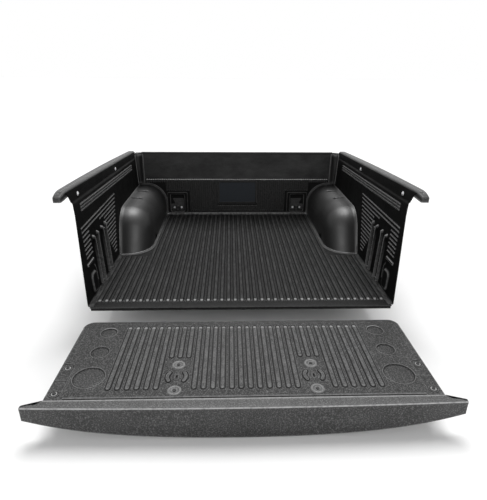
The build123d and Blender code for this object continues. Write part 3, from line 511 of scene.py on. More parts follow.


def moulded(name, dark, light, rough=(0.42, 0.6), grain=0.5, pebble=330, scuffs=0.3, specks=0.3,
            along="Y", crest=None, edge=0.55, sheen=0.5, edge_highlight_tone=None, ends=None, masks=True, upper=None,
            plaque=None):
    """Moulded polyethylene: pebble grain, cloudy tone, scratches, edges painted lighter as a highlight, raised tops
    painted lighter in patches as a highlight, and painted shade in the hollows.

    dark, light: the tone's ends; pebble: grain per metre; along: axis of the scratches; places in millimetres.
    crest: axis, start and end of the height whose raised tops are painted lighter as a highlight, and its tone over
    light; upper: height and tone of a paler band;
    ends: axis, low, high and tone of raised places that catch light, painted as a highlight; plaque: half width, low,
    high and tone.
    """
    n = Nodes(name)
    tone = n.ramp(n.noise(5, 5), [(0.3, grey(dark)), (0.7, grey(light))])
    axes = n.axes()
    top = 0
    if crest:
        # Raised tops painted lighter in patches: painted highlight.
        axis, low, high, gain = crest
        top = n.span(axes[axis], low * MM, high * MM)
        highlight_patches = n.span(n.noise(75, 6, n.stretched((1, 0.25, 1)), 0.65), 0.38, 0.62, 0.25, 1)
        tone = n.mix(n.maths("MULTIPLY", top, highlight_patches), tone, grey(light * gain))
    if upper:
        low, shade = upper
        cloud = n.span(n.noise(9, 5, n.stretched((1, 1, 2)), 0.6), 0.3, 0.7, 0.45, 1)
        above = n.span(axes["Z"], low * MM, (low + 2) * MM)
        tone = n.mix(n.maths("MULTIPLY", above, cloud), tone, grey(shade))
    if plaque:
        half, low, high, shade = plaque
        across = n.span(n.maths("ABSOLUTE", axes["X"], 0), half * MM, (half + 1) * MM, 1, 0)
        upward = n.window(axes["Z"], low, high, 1)
        tone = n.mix(n.maths("MULTIPLY", across, upward), tone, grey(shade, 0.35))
    pebbles = n.noise(pebble, 3, roughness=0.6)
    tone = n.mix(n.maths("MULTIPLY", n.span(pebbles, 0.50, 0.68), specks), tone, grey(light * 4.5))
    tone = n.mix(n.maths("MULTIPLY", n.span(pebbles, 0.48, 0.34), 0.6), tone, grey(dark * 0.35))
    stretch = {"X": (3, 60, 60), "Y": (60, 3, 60), "Z": (60, 60, 3)}[along]
    streaks = n.span(n.noise(6, 6, n.stretched(stretch), 0.7), 0.56, 0.78)
    streaks = n.maths("MULTIPLY", streaks, n.span(n.noise(3.2, 3), 0.42, 0.64))
    tone = n.mix(n.maths("MULTIPLY", streaks, scuffs), tone, grey(light * 6))
    if masks:
        # Convex edges painted lighter in patches: painted highlight.
        edge_highlight = n.maths("MULTIPLY", n.mask("edge"), n.span(n.noise(70, 4), 0.25, 0.6, 0.45, 1))
        tone = n.mix(n.maths("MULTIPLY", edge_highlight, edge), tone, grey(edge_highlight_tone or min(light * 9, 0.4)))
    if ends:
        axis, low, high, bright = ends
        reach = n.window(axes[axis], low, high, 2)
        raised = n.maths("MAXIMUM", n.span(n.mask("edge"), 0.05, 0.4), top)
        raised = n.maths("MULTIPLY", raised, n.span(n.noise(90, 3), 0.3, 0.55, 0.5, 1))
        tone = n.mix(n.maths("MULTIPLY", reach, raised), tone, grey(bright))
    if masks:
        # Hollows darkened: painted shade.
        tone = n.mix(n.maths("MULTIPLY", n.mask("hollow"), HOLLOW_SHADE), tone, grey(dark * 0.12))
    n.link(tone, n.shader.inputs["Base Color"])
    n.link(n.span(n.noise(11, 6), 0.3, 0.7, rough[0], rough[1]), n.shader.inputs["Roughness"])
    fine = n.maths("ADD", pebbles, n.maths("MULTIPLY", n.noise(pebble * 3, 2), 0.4))
    waves = n.bump(n.noise(7, 2), 0.2, 0.004)
    n.link(n.bump(fine, grain, 0.0011, waves), n.shader.inputs["Normal"])
    n.shader.inputs["Specular IOR Level"].default_value = sheen
    return n.owner


def metal(name, base, bright, rough=(0.22, 0.42), scale=90, metallic=1):
    """Plated or coated steel with brushing, tarnish and fine pits."""
    n = Nodes(name)
    brushed = n.noise(scale, 6, n.stretched((1, 8, 1)), 0.65)
    n.link(n.ramp(brushed, [(0.3, base), (0.65, bright)]), n.shader.inputs["Base Color"])
    n.link(n.span(n.noise(240, 4), 0.3, 0.7, rough[0], rough[1]), n.shader.inputs["Roughness"])
    n.link(n.bump(n.noise(900, 3), 0.12, 0.0003), n.shader.inputs["Normal"])
    n.shader.inputs["Metallic"].default_value = metallic
    return n.owner


def soft(name, dark, light, scale, strength):
    """Rubber or foam with an open, uneven skin."""
    n = Nodes(name)
    n.link(n.ramp(n.noise(scale, 6), [(0.35, grey(dark)), (0.65, grey(light))]), n.shader.inputs["Base Color"])
    n.link(n.span(n.noise(60, 3), 0.3, 0.7, 0.7, 0.95), n.shader.inputs["Roughness"])
    n.link(n.bump(n.cells(scale * 2), strength, 0.0006), n.shader.inputs["Normal"])
    return n.owner


# In these settings crest and ends paint highlights on raised tops and rib ends, edge paints a highlight on convex
# edges, and the hollows are darkened as painted shade.
floor_plastic = moulded("floor plastic", 0.005, 0.010, rough=(0.4, 0.56), pebble=230, scuffs=0.8, specks=0.7,
                        crest=("Z", 6.5, 8.6, 5.4), edge=0.7, edge_highlight_tone=0.18, ends=("Y", 50, 66, 0.28), sheen=0.09)
gate_plastic = moulded("tailgate plastic", 0.020, 0.034, rough=(0.4, 0.56), grain=0.9, pebble=210, scuffs=0.6,
                       specks=0.9, crest=("Z", -28.4, -26.2, 3.2), edge=0.75, ends=("Y", -150, -132, 0.3), sheen=0.18)
wall_plastic = moulded("wall plastic", 0.003, 0.006, rough=(0.55, 0.7), grain=0.3, scuffs=0.12, specks=0.1,
                       sheen=0.08, edge=1, crest=("Z", 16, 9, 14), edge_highlight_tone=0.5)
front_plastic = moulded("bulkhead plastic", 0.005, 0.009, scuffs=0.25, specks=0.2, along="X", sheen=0.15,
                        edge=0.8, crest=("Z", 20, 11, 30), edge_highlight_tone=0.3,
                        ends=("Z", 283, 290, 1), upper=(293, 0.06), plaque=(143, 104, 262, 0.03))
arch_plastic = moulded("arch plastic", 0.005, 0.009, rough=(0.42, 0.52), grain=0.16, scuffs=0.12, specks=0.1,
                       edge=0.7, edge_highlight_tone=0.2, sheen=0.9)
cap_plastic = moulded("cap plastic", 0.018, 0.031, rough=(0.45, 0.6), grain=0.9, pebble=190, scuffs=0.25,
                      specks=0.9, along="X", edge=0.8, edge_highlight_tone=0.4, crest=("Z", -40, -33, 1.8),
                      ends=("Z", -34, -29.5, 0.45))
rail_plastic = moulded("rail plastic", 0.007, 0.013, rough=(0.42, 0.56), grain=0.7, pebble=240,
                       scuffs=0.25, specks=0.4, edge=1, edge_highlight_tone=0.3)
trim_plastic = moulded("trim plastic", 0.009, 0.015, rough=(0.36, 0.5), grain=0.3, scuffs=0.2, specks=0.2,
                       edge=0.9, edge_highlight_tone=0.22)
band_plastic = moulded("band plastic", 0.009, 0.02, rough=(0.4, 0.55), grain=0.6, pebble=230, scuffs=0.5,
                       specks=0.5, along="X", masks=False)
cup_plastic = moulded("cup plastic", 0.05, 0.09, rough=(0.38, 0.5), grain=0.4, specks=0.4, edge=0.9, edge_highlight_tone=0.4)
zinc = metal("zinc plate", (0.80, 0.81, 0.83), (0.95, 0.95, 0.96), metallic=0.35)
black_steel = metal("black steel", grey(0.012), grey(0.04), rough=(0.35, 0.55), metallic=0.4)
plate_steel = metal("coated plate", grey(0.05), grey(0.1), rough=(0.4, 0.6), metallic=0.5)
washer_steel = metal("washer steel", grey(0.22), grey(0.4), rough=(0.35, 0.5), metallic=0.5)
rubber = soft("rubber", 0.012, 0.022, 220, 0.2)
foam = soft("foam tape", 0.05, 0.09, 400, 0.5)


# ---- floor panel ----

FLOOR_RIBS, FLOOR_PITCH, FLOOR_RIB_WIDTH = 43, 34.3, 16
FLOOR_RIB_STEPS = [(5.9, 0), (5.1, -1.5), (0.6, -1.5), (-1.3, 4), (-2.1, 4.8), (-3.1, 5)]
RIB_REAR, RIB_FRONT, SHORT_RIB_FRONT, SHORT_RIBS_FROM = 58, 1460, 620, 550
WHEELHOUSE_X, WHEELHOUSE_Y, WHEELHOUSE_ROUND = 586, 669, 136


def arch_hole(side):
    """Corners of the floor's cut-out round one wheelhouse, from the wall to the front edge."""
    corners = [(side * floor_high[0], WHEELHOUSE_Y, 0), (side * WHEELHOUSE_X, WHEELHOUSE_Y, WHEELHOUSE_ROUND),
               (side * WHEELHOUSE_X, BED_LENGTH, 0)]
    return corners if side > 0 else corners[::-1]


floor_ribs = []
for rib in range(FLOOR_RIBS):
    x = (rib - (FLOOR_RIBS - 1) / 2) * FLOOR_PITCH
    front = RIB_FRONT if abs(x) < SHORT_RIBS_FROM else SHORT_RIB_FRONT
    path = [(x, RIB_REAR), (x, front)]
    floor_ribs.append((bead(path, FLOOR_RIB_WIDTH, ramps=(4, 2.5)), FLOOR_RIB_STEPS))
# The hem hangs down over the sill and stops short of the floor's rounded corners.
hem = bar(0, floor_low[1] + SHEET / 2 + 0.5, 2 * floor_high[0] - 13, SHEET, 1)
floor_body = moulding(
    level_place(FLOOR_TOP),
    around([(floor_low[0], floor_low[1], 6), (floor_high[0], floor_low[1], 6), *arch_hole(1), *arch_hole(-1)]),
    [(-4, 0), (-2.4, -0.3), (-1.1, -1.1), (-0.3, -2.4), (0, -3.9), (-0.1, -4)],
    floor_ribs,
    back=[(hem, [(0, 0), (0, -12.6), (-0.5, -13.6), (-1.2, -14)])],
)
floor_body.make("floor_liner", "bed", "liner_plastic", floor_plastic, ["floor_panel"])


# ---- tailgate panel ----

GATE_TOP, GATE_DEPTH = -30, 9.2
GATE_RIBS, GATE_PITCH = 30, 36.3
GATE_RIB_STEPS = [(6.2, 0), (5.4, -1.6), (0.6, -1.6), (-0.5, 2.7), (-1.3, 3.7), (-2.3, 4)]
GATE_RIB_NEAR, GATE_RIB_FAR, CUT_RIB_FAR = -136, -552, -359
CUP_X, CUP_YS = 272.25, (-415, -567)
EDGE_SCREW_X, EDGE_SCREW_YS = 720, (-421, -571)
RECESSES = ((617, -174, 37), (618, -321, 39), (617, -485, 62))
DISH = [(4.6, 0), (3, 0.9), (1.4, 1.2), (0.2, 0.5), (-0.8, -2), (-1.8, -4.2), (-3.4, -5), (-6, -4.6),
        (-9, -4.4)]
KNOB = [(0.5, 0), (-0.5, 0.5), (-2, 0.8)]
BOSS = [(2.6, 0), (1.4, 0.8), (0, 2), (-1.6, 2.4)]
SCREW_RING = [(4.6, 0), (3.9, 1), (3, 1.6), (2, 1), (1, 0)]


gate_forms = []
for rib in range(GATE_RIBS):
    place = rib - (GATE_RIBS - 1) / 2
    x = place * GATE_PITCH
    far = CUT_RIB_FAR if abs(place) in (6.5, 7.5, 8.5) else GATE_RIB_FAR
    if abs(place) in (6.5, 8.5):
        lean = math.copysign(7, abs(place) - 7.5) * math.copysign(1, place)
        bent = [(x - lean, -463), (x, -480), (x, -496), (x - lean, -512)]
        gate_forms.append((bead(bent, 14), GATE_RIB_STEPS))
    gate_forms.append((bead([(x, GATE_RIB_NEAR), (x, far)], 16, ramps=(13, 5)), GATE_RIB_STEPS))
for side in (-1, 1):
    for x, y, radius in RECESSES:
        gate_forms.append((disc(side * x, y, radius), DISH, [(disc(side * x, y, radius - 14), KNOB)]))
    keyhole = (bar(side * CUP_X, -489, 9, 24, 4.5), [(0.6, 0), (0, -0.6), (0, -11.6)], "hole")
    gate_forms.append((bar(side * CUP_X, -486, 20, 40, 9), BOSS, [keyhole]))
    gate_forms += [screw_hole(side * CUP_X, y, GATE_DEPTH) for y in CUP_YS]
    for x, length in ((562, 26), (604, 12)):
        tick = bead([(side * x, -112), (side * (x + length), -108)], 5)
        gate_forms.append((tick, [(0.6, 0), (-0.4, 1.4), (-1.2, 1.8)]))
gate_forms.append((
    bead([(-675, -603), (675, -603)], 8), [(1.8, 0), (1, -0.9), (0.2, -0.9), (-0.9, 3.4), (-1.9, 3.9)]))
inner_half = [(-724, -100, 34), (-724, -388, 10), (-689.8, -396, 10), (-689.8, -614, 5)]
outer_half = [(-746.5, -79.5, 42), (-746.5, -392, 12), (-697, -402, 12), (-697, -622.5, 6)]
inner_field = (around(inner_half + mirror(inner_half)), [(1, 0), (0.2, 0.3), (-0.9, 1), (-2, 1.2)], gate_forms)
edge_forms = [(
    around(outer_half + mirror(outer_half)), [(0, 0), (-0.4, 1.4), (-1.6, 3), (-3.4, 3.8)], [inner_field])]
for side in (-1, 1):
    for y in EDGE_SCREW_YS:
        edge_forms.append((disc(side * EDGE_SCREW_X, y, 15), SCREW_RING, [screw_hole(side * EDGE_SCREW_X, y)]))
    tick = bead([(side * 708, -496), (side * 738, -496)], 9)
    edge_forms.append((tick, [(0.8, 0), (-0.5, 1.6), (-1.8, 2)]))
gate_outline = around([
    (gate_low[0], gate_high[1], 45), (gate_low[0], gate_low[1], 4.5), (gate_high[0], gate_low[1], 4.5),
    (gate_high[0], gate_high[1], 45)], arc=10)
gate_body = moulding(
    level_place(GATE_TOP),
    gate_outline,
    [(-1.2, -5), (-0.3, -5.4), (0, -6.2), (0, -12), (-1.5, -12), (-3.5, -GATE_DEPTH)],
    edge_forms,
)
gate_body.make("tailgate_liner", "tailgate", "liner_plastic", gate_plastic, ["tailgate_panel"])


# ---- side panels ----

ARCH_REAR, ARCH_TOP, ARCH_RUN, CROWN = 655, 250, 0.548, 194
FOOT_EDGE, FOOT_TOP, FOOT_THIN = -16, 7, 0.72
BAND_X, BAND_STEP, BAND_REAR = 791, 10, 70
WALL_FOLD = [2, 3.7, 5.3, 7, 8.7, 10.3, 12]
BAND_LINES = [-2, 0, 2.5, 5, 7.5, 10, 12]
LINE_STEPS = [(1.6, 0), (1, -0.5), (0.2, -0.3), (-0.9, 3.2), (-1.8, 4)]
RIDGE_STEPS = [(1.2, 0), (0.2, 1.4), (-1.6, 8), (-3, 12.6), (-3.8, 14.2), (-4.8, 15)]
PAD_STEPS = [(3, 0), (0.5, 1.5), (-5, 7.5), (-9, 9.4), (-14, 10)]
SIDE_SCREWS = ((164, 537), (885, 502))


def arch_profile(inset, steps=18, foot=FLOOR_TOP, rises=9):
    """Side view of the wheel arch as points with outward normals, from the floor to the front."""
    slope = np.array((ARCH_RUN, 1)) / math.hypot(ARCH_RUN, 1)
    out = np.array((-slope[1], slope[0]))
    corner = np.array((ARCH_REAR + ARCH_RUN * (ARCH_TOP - FLOOR_TOP), ARCH_TOP))
    turn = math.acos(slope[0])
    start = corner - slope * (CROWN * math.tan(turn / 2))
    low = np.array((ARCH_REAR + ARCH_RUN * (foot - FLOOR_TOP), foot))
    points = [(low + (start - low) * k / rises, out) for k in range(rises)]
    centre = start - out * CROWN
    for k in range(steps + 1):
        angle = turn * (1 - k / steps)
        normal = np.array((-sin(angle), cos(angle)))
        points.append((centre + normal * CROWN, normal))
    last = points[-1][0]
    ahead = [last[0] + (arch_high[1] - last[0]) * (k / 24) for k in range(1, 25)]
    points += [(np.array((y, ARCH_TOP)), np.array((0, 1))) for y in ahead]
    return [(p - n * inset, n) for p, n in points]


def folded(v, h, wall, low, high, fillet):
    """Depth and height on a panel's foot, which lies below the fold, or in the fold's fillet."""
    if v <= low:
        return wall - fillet - (low - v), FOOT_TOP + h * FOOT_THIN
    angle = QUARTER * (v - low) / (high - low)
    inner = fillet - h
    return wall - fillet + inner * sin(angle), high - inner * cos(angle)


def side_place(u, v, h):
    """The wall unrolled: the foot, a fillet, the leaning wall, a step, and the upright band."""
    kink = shoulder_z(u)
    if v < WALL_FOLD[-1]:
        x, z = folded(v, h, wall_x(WALL_FOLD[-1]), WALL_FOLD[0], WALL_FOLD[-1], 5)
        return (x, u, z)
    if v <= kink:
        return (wall_x(v) - h, u, v)
    if v < kink + BAND_STEP:
        t = (v - kink) / BAND_STEP
        rise = t * t * (3 - 2 * t)
        return (wall_x(kink) + (BAND_X - wall_x(kink)) * rise - h, u, v - h * 0.5 * sin(math.pi * t))
    return (BAND_X - h, u, v)


def rear_y(v):
    """Rear edge of the wall at its foot and fold."""
    return 2 + max(0, (v - 8) * 0.146)


def arch_y(v):
    """Edge of the wall's foot and fold at the wheel arch."""
    return ARCH_REAR + max(0, (v - 4) * 1.2)


arch_edge = [(p[0], p[1]) for p, _ in arch_profile(6) if p[1] > 14]
arch_edge[-1] = (side_high[1], arch_edge[-1][1])
side_rim = [
    (rear_y(0), FOOT_EDGE), (ARCH_REAR, FOOT_EDGE), *[(arch_y(v), v) for v in WALL_FOLD], *arch_edge,
    *[(side_high[1], shoulder_z(side_high[1]) + s) for s in BAND_LINES],
    (side_high[1], rail_z(side_high[1]) - 8), (16.6, rail_z(16.6) - 8), (40, 562),
    *[(BAND_REAR, shoulder_z(BAND_REAR) + s) for s in reversed(BAND_LINES)],
    (70, 455), (52, 335), (25, 165), *[(rear_y(v), v) for v in reversed(WALL_FOLD)]]
side_creases = [[(rear_y(v), v), (arch_y(v), v)] for v in WALL_FOLD]
side_creases += [[(y, shoulder_z(y) + s) for y in (BAND_REAR, side_high[1])] for s in BAND_LINES]

side_forms = []
for drop in (20.5, 35.5, 50.5):
    side_forms.append((bead([(y, shoulder_z(y) - drop) for y in (154, 1286)], 7, (3, 3)), LINE_STEPS))
for row in range(15):
    z = 378 - 22.5 * row
    ahead = 605 + 0.41 * (z - 50)
    spans = [(100, ahead)]
    if row >= 2:
        # From the third row down a line starts ahead of the board slots; six rows also have a piece behind them.
        start = 375 + 0.66 * (350 - z)
        spans = [(max(start, 469) if z < 315 else start, ahead)]
        if row < 8:
            spans.append((100, 200))
    for rear, front in spans:
        side_forms.append((bead([(rear + 4, z), (front - 4, z)], 7, (2, 2)), LINE_STEPS))
for slot_y, clamp in ((270, False), (420, True)):
    for side in (-1, 1):
        y = slot_y + side * 27
        ridge = [(y, 22), (y, 262), (y + side * 3, 276), (y + side * 8, 290)]
        side_forms.append((bead(ridge, 14, (1, 2)), RIDGE_STEPS))
    side_forms.append((bar(slot_y, 22, 24, 9, 3), [(1, 0), (0, 1), (-0.8, 6.5), (-1.8, 7.5)]))
    if clamp:
        side_forms.append((bar(slot_y, 262, 22, 20, 4), [(1, 0), (0, 1), (-1, 7), (-2.4, 8)]))
side_forms.append((bar(135, 188, 100, 16, 5), [(1.5, 0), (0, 2), (-2, 7), (-4, 8)]))
side_forms.append((bar(142, 78, 82, 112, 28, arc=8), PAD_STEPS))
bow = [(190, 150), (202, 128), (205, 100), (203, 60)]
side_forms.append((bead(bow, 4), [(0.6, 0), (-0.4, 1.6), (-1.2, 2)]))
side_forms += [screw_hole(y, z) for y, z in SIDE_SCREWS]
for side, name in SIDES:
    body = moulding(side_place, lambda grow: side_rim, [(0, 0), (0, -SHEET)], side_forms, creases=side_creases)
    body.make(f"side_liner_{name}", "bed", "liner_plastic", wall_plastic, [f"side_panel_{name}"], mirrored=side < 0,
              plain_rim=True)


# ---- bulkhead panel ----

FRONT_FOLD = [1, 3, 5, 7, 9, 11, 13]
FRONT_FOOT_X = 558
TICK_STEPS = [(1.8, 0), (1.1, -0.6), (0.3, -0.4), (-0.5, 1.8), (-1.4, 2.8), (-2.1, 3)]
TICK_HALF_COUNT, TICK_PITCH, TICK_WIDTH, TICK_TOP = 42, 17, 8, 288
PLAQUE_HALF, PLAQUE_LOW, PLAQUE_HIGH = 157, 90, 278
POCKET_X, FRAME_HALF, FRAME_HIGH = 482, 81, 184
PLAQUE_STEPS = [(1, 0), (0, 1.2), (-1, 4.2), (-2.4, 5)]
PLAQUE_FIELD_STEPS = [(1, 0), (0.2, -0.6), (-0.8, -1.8), (-2, -2)]
FRAME_STEPS = [(2, 0), (0.6, 0.8), (-1, 3.2), (-2.6, 4)]
POCKET_STEPS = [(3, 0), (1, -0.8), (0, -3), (-1, -18.5), (-2.5, -20)]


def front_place(u, v, h):
    """The bulkhead unrolled: the foot, a fillet, then the upright panel."""
    if v < FRONT_FOLD[-1]:
        y, z = folded(v, h, BED_LENGTH, FRONT_FOLD[0], FRONT_FOLD[-1], 6)
        return (u, y, z)
    return (u, BED_LENGTH - h, v)


lower = [(FRONT_FOOT_X, -17)] + [(FRONT_FOOT_X + max(0, (v - 5) * 1.3), v) for v in FRONT_FOLD]
over_arch = [(722 - 153 * cos(a), 100 + 153 * sin(a)) for a in spaced(0, QUARTER, 13)]
right_half = lower + over_arch + [(742, 253), (742, 494)]
front_rim = right_half + mirror(right_half)
front_creases = [[(-x, z), (x, z)] for x, z in lower[1:]]
front_forms = []
for tick in range(-TICK_HALF_COUNT, TICK_HALF_COUNT + 1):
    x = tick * TICK_PITCH
    spans = [(34, TICK_TOP)]
    if abs(x) > 562:
        spans = [(270, TICK_TOP)]
    elif abs(x) < PLAQUE_HALF + 9:
        spans = [(34, PLAQUE_LOW - 18), (PLAQUE_HIGH + 6, TICK_TOP)]
    elif abs(abs(x) - POCKET_X) < FRAME_HALF + 11:
        spans = [(FRAME_HIGH + 18, TICK_TOP)]
    for low, high in spans:
        if high - low > 4:
            front_forms.append((bead([(x, low), (x, high)], TICK_WIDTH, (3, 3), arc=3), TICK_STEPS))
        else:
            front_forms.append((bar(x, 287.5, TICK_WIDTH, 7, 3.4, arc=3), TICK_STEPS))
front_forms.append((
    bar(0, 184, 314, 188, 10), PLAQUE_STEPS, [(bar(0, 184, 288, 162, 6), PLAQUE_FIELD_STEPS)]))
for side in (-1, 1):
    holes = [screw_hole(side * POCKET_X + dx, 54, radius=4.5) for dx in (-28, 28)]
    pocket = (bar(side * POCKET_X, 96.4, 110, 141.2, 9), POCKET_STEPS, holes)
    front_forms.append((bar(side * POCKET_X, 100.4, 162, 167.2, 13, arc=6), FRAME_STEPS, [pocket]))
front_body = moulding(
    front_place, lambda grow: front_rim, [(0, 0), (0, -SHEET)], front_forms, creases=front_creases)
front_body.make("bulkhead_liner", "bed", "liner_plastic", front_plastic, ["bulkhead_panel"], plain_rim=True)


# ---- wheel arch covers ----

ARCH_SIDE_X, SHOULDER, FLANGE_TOP = 722, 150, 7
ARCH_INNER_X = ARCH_SIDE_X - SHOULDER
ROW_POINTS = 48
WALL_LIP = ((0, 7), (2, 7.2), (4, 6.4), (6, 4.2), (9, 1.6), (13, 0.4), (17, 0))
FOOT_SECTION = ((-0.22, 6), (-0.1, 9.5), (0.1, 8), (0.4, 7.1), (0.75, 7), (0.93, 6.6), (1, 5.2), (1, 4.2),
                (-0.22, 4.2))
LIP_SECTION = ((0, 1496), (3, 1495.2), (8, 1495), (10, 1496), (10.6, 1499.4), (-1, 1499.4))
DASHES = ((716, 1090), (708, 1280))
DASH_STEPS = ((1, 0), (0.6, 3), (-0.6, 5), (-1.8, 5.6), (-3, 5.8))


def arch_row(point, normal, sink):
    """Section of an arch cover across the bed, from a lip on the side wall over the shoulder and down."""
    top = np.array(point) - normal * sink
    wall = wall_x(top[1]) - 0.6
    line = [(wall - d, *(top + normal * lip)) for d, lip in WALL_LIP]
    line.append(((line[-1][0] + ARCH_SIDE_X) / 2, *top))
    line.append((ARCH_SIDE_X, *top))
    reach = SHOULDER - sink
    centre = np.array(point) - normal * SHOULDER
    for angle in spaced(0, QUARTER, 25)[1:]:
        spot = centre + normal * reach * cos(angle)
        line.append((ARCH_SIDE_X - reach * sin(angle), *spot))
    last = np.array(line[-1][1:])
    depth = max(last[1] - FLOOR_TOP, 1) / normal[1] + 2
    for k in range(1, 9):
        line.append((ARCH_SIDE_X - reach, *(last - normal * depth * k / 8)))
    return line


def clipped(line, level):
    """Cuts a section off where it goes through the floor, and spreads its points evenly again."""
    kept = []
    for here, ahead in zip(line, line[1:] + [line[-1]]):
        kept.append(here)
        if ahead[2] < level:
            t = (here[2] - level) / max(here[2] - ahead[2], 1e-6)
            end = tuple(h + (a - h) * t for h, a in zip(here, ahead))
            break
    else:
        end = kept[-1]
    kept.append(end)
    lengths = [0]
    for a, b in zip(kept, kept[1:]):
        lengths.append(lengths[-1] + math.dist(a, b))
    if lengths[-1] < 1e-6:
        return [end] * ROW_POINTS
    marks = np.linspace(0, lengths[-1], ROW_POINTS)
    return [tuple(np.interp(m, lengths, [p[i] for p in kept]) for i in range(3)) for m in marks]


def arch_grid(sink, level):
    points = arch_profile(0, 26, level + 0.02, 34)
    return [clipped(arch_row(point, normal, sink), level if sink == 0 else level - 3) for point, normal in points]


foot_inner, foot_outer = [(748, 656), (722, 656)], [(748, 641), (722, 641)]
foot_run = 2.373 * SHOULDER * 0.4806
for angle in spaced(0, QUARTER, 25)[1:]:
    across, ahead = sin(angle), 1 - cos(angle)
    foot_inner.append((ARCH_SIDE_X - SHOULDER * across, 656 + foot_run * ahead))
    foot_outer.append((ARCH_SIDE_X - 164 * across, 641 + 164 * ahead))
for y in spaced(870, 1474, 14):
    foot_inner.append((ARCH_INNER_X, y))
    foot_outer.append((558, y))
foot_rows = [[(a[0] + (b[0] - a[0]) * t, a[1] + (b[1] - a[1]) * t, z) for t, z in FOOT_SECTION]
             for a, b in zip(foot_inner, foot_outer)]
lip_path = [(769.5, ARCH_TOP, 0, 1), (ARCH_SIDE_X, ARCH_TOP, 0, 1)]
for a in spaced(0.05, QUARTER, 24):
    lip_path.append((ARCH_SIDE_X - SHOULDER * sin(a), 100 + SHOULDER * cos(a), -sin(a), cos(a)))
lip_path += [(ARCH_INNER_X, 60, -1, 0), (ARCH_INNER_X, 4.2, -1, 0)]
lip_rows = [[(x + nx * grow, y, z + nz * grow) for grow, y in LIP_SECTION] for x, z, nx, nz in lip_path]
for side, name in SIDES:
    body = Body()
    body.shell(arch_grid(0, FLANGE_TOP), arch_grid(SHEET, FLANGE_TOP))
    body.tube(foot_rows)
    body.tube(lip_rows)
    for x, y in DASHES:
        bow = bead([(x - 36, y + 7), (x - 18, y + 1.5), (x, y), (x + 18, y + 1.5), (x + 36, y + 7)], 9)
        body.tube([[(u, v, arch_high[2] - 3.4 + h) for u, v in bow(grow)] for grow, h in DASH_STEPS])
    body.make(f"wheel_arch_{name}", "bed", "liner_plastic", arch_plastic, [f"arch_cover_{name}"], mirrored=side < 0,
              sharp=34)


# ---- rail caps ----

RAIL_INNER, RAIL_REAR, RAIL_FRONT = rail_low[0], rail_low[1], rail_high[1]
RAIL_SKIRT, RAIL_HOOD, RAIL_ROUND, RAIL_BEND = 28, 548, 8, 70
RAIL_SHEET, END_ROUND, END_BACK = 3, 7, -35
GROOVES = (812, 824)
GROOVE = ((-2.3, 0), (-1.5, -0.5), (-0.9, -1.2), (0.9, -1.2), (1.5, -0.5), (2.3, 0))
STATIONS = [-31, -26, -20, -14, -8, -5, -2, 0, *spaced(8, 100, 10), *spaced(125, 1440, 42),
            1464, 1467, 1470, 1473, 1485, RAIL_FRONT]


def circle_through(a, b, c):
    """Centre and radius of the circle through three points."""
    (ax, ay), (bx, by), (cx, cy) = a, b, c
    d = 2 * (ax * (by - cy) + bx * (cy - ay) + cx * (ay - by))
    ux = ((ax * ax + ay * ay) * (by - cy) + (bx * bx + by * by) * (cy - ay) + (cx * cx + cy * cy) * (ay - by)) / d
    uy = ((ax * ax + ay * ay) * (cx - bx) + (bx * bx + by * by) * (ax - cx) + (cx * cx + cy * cy) * (bx - ax)) / d
    return (ux, uy), math.dist((ux, uy), a)


rail_centre, rail_radius = circle_through((842, 1500), (855, 650), (840, -38))


def rail_outer(y):
    return rail_centre[0] + math.sqrt(rail_radius ** 2 - (y - rail_centre[1]) ** 2)


def skirt_z(y):
    """Lower edge of the rail cap: a deep hood at the rear, then a shallow skirt."""
    if y <= 0:
        return RAIL_HOOD
    if y < 100:
        return RAIL_HOOD + (rail_z(100) - RAIL_SKIRT - RAIL_HOOD) * (y / 100)
    return rail_z(y) - RAIL_SKIRT


def rail_section(y, inset, shrink=0):
    """Half-open section of the rail cap at one station: down the inside, over the top, down the outside."""
    bend = max(0, (RAIL_BEND - y) / (RAIL_BEND - RAIL_REAR)) ** 2
    inner, outer = RAIL_INNER + inset + shrink, rail_outer(y) - inset - shrink - 9 * bend
    top, low = rail_z(y) - inset - shrink * 0.7 - 15 * bend, skirt_z(y)
    r = max(RAIL_ROUND - inset, 0.6)
    middle = (low + top - r) / 2
    turns = spaced(0, QUARTER, 7)
    fade = 0 if inset else min(max((y + 8) / 6, 0), 1) * min(max((1470 - y) / 6, 0), 1)
    line = [(inner, y, low), (inner, y, middle)]
    line += [(inner + r * (1 - cos(a)), y, top - r * (1 - sin(a))) for a in turns]
    line += [(groove + dx, y, top + dz * fade) for groove in GROOVES for dx, dz in GROOVE]
    line += [(outer - r * (1 - sin(a)), y, top - r * (1 - cos(a))) for a in turns]
    return line + [(outer, y, middle), (outer, y, low)]


rail_front_rows, rail_back_rows = [], []
for a in spaced(0, QUARTER, 7)[:-1]:
    y, shrink = STATIONS[0] - END_ROUND * cos(a), END_ROUND * (1 - sin(a))
    rail_front_rows.append(rail_section(y, 0, shrink))
    rail_back_rows.append([(x, max(v, END_BACK), z) for x, v, z in rail_section(y, RAIL_SHEET, shrink)])
rail_front_rows += [rail_section(y, 0) for y in STATIONS]
rail_back_rows += [rail_section(y, RAIL_SHEET) for y in STATIONS]
for side, name in SIDES:
    body = Body()
    f, b = body.grid(rail_front_rows), body.grid(rail_back_rows)
    body.band(f[-1], b[-1], closed=False)
    body.sides(f, b)
    for end in (f[0], b[0]):
        for i in range(len(end) // 2):
            j = len(end) - 1 - i
            if j - i >= 2:
                body.faces.append((end[i], end[i + 1], end[j - 1], end[j]))
    body.band([f[0][0], f[0][-1]], [b[0][0], b[0][-1]], closed=False)
    body.make(f"bed_rail_cap_{name}", "bed", "cap_plastic", rail_plastic, [f"rail_cap_{name}"], mirrored=side < 0)


# ---- tailgate cap ----

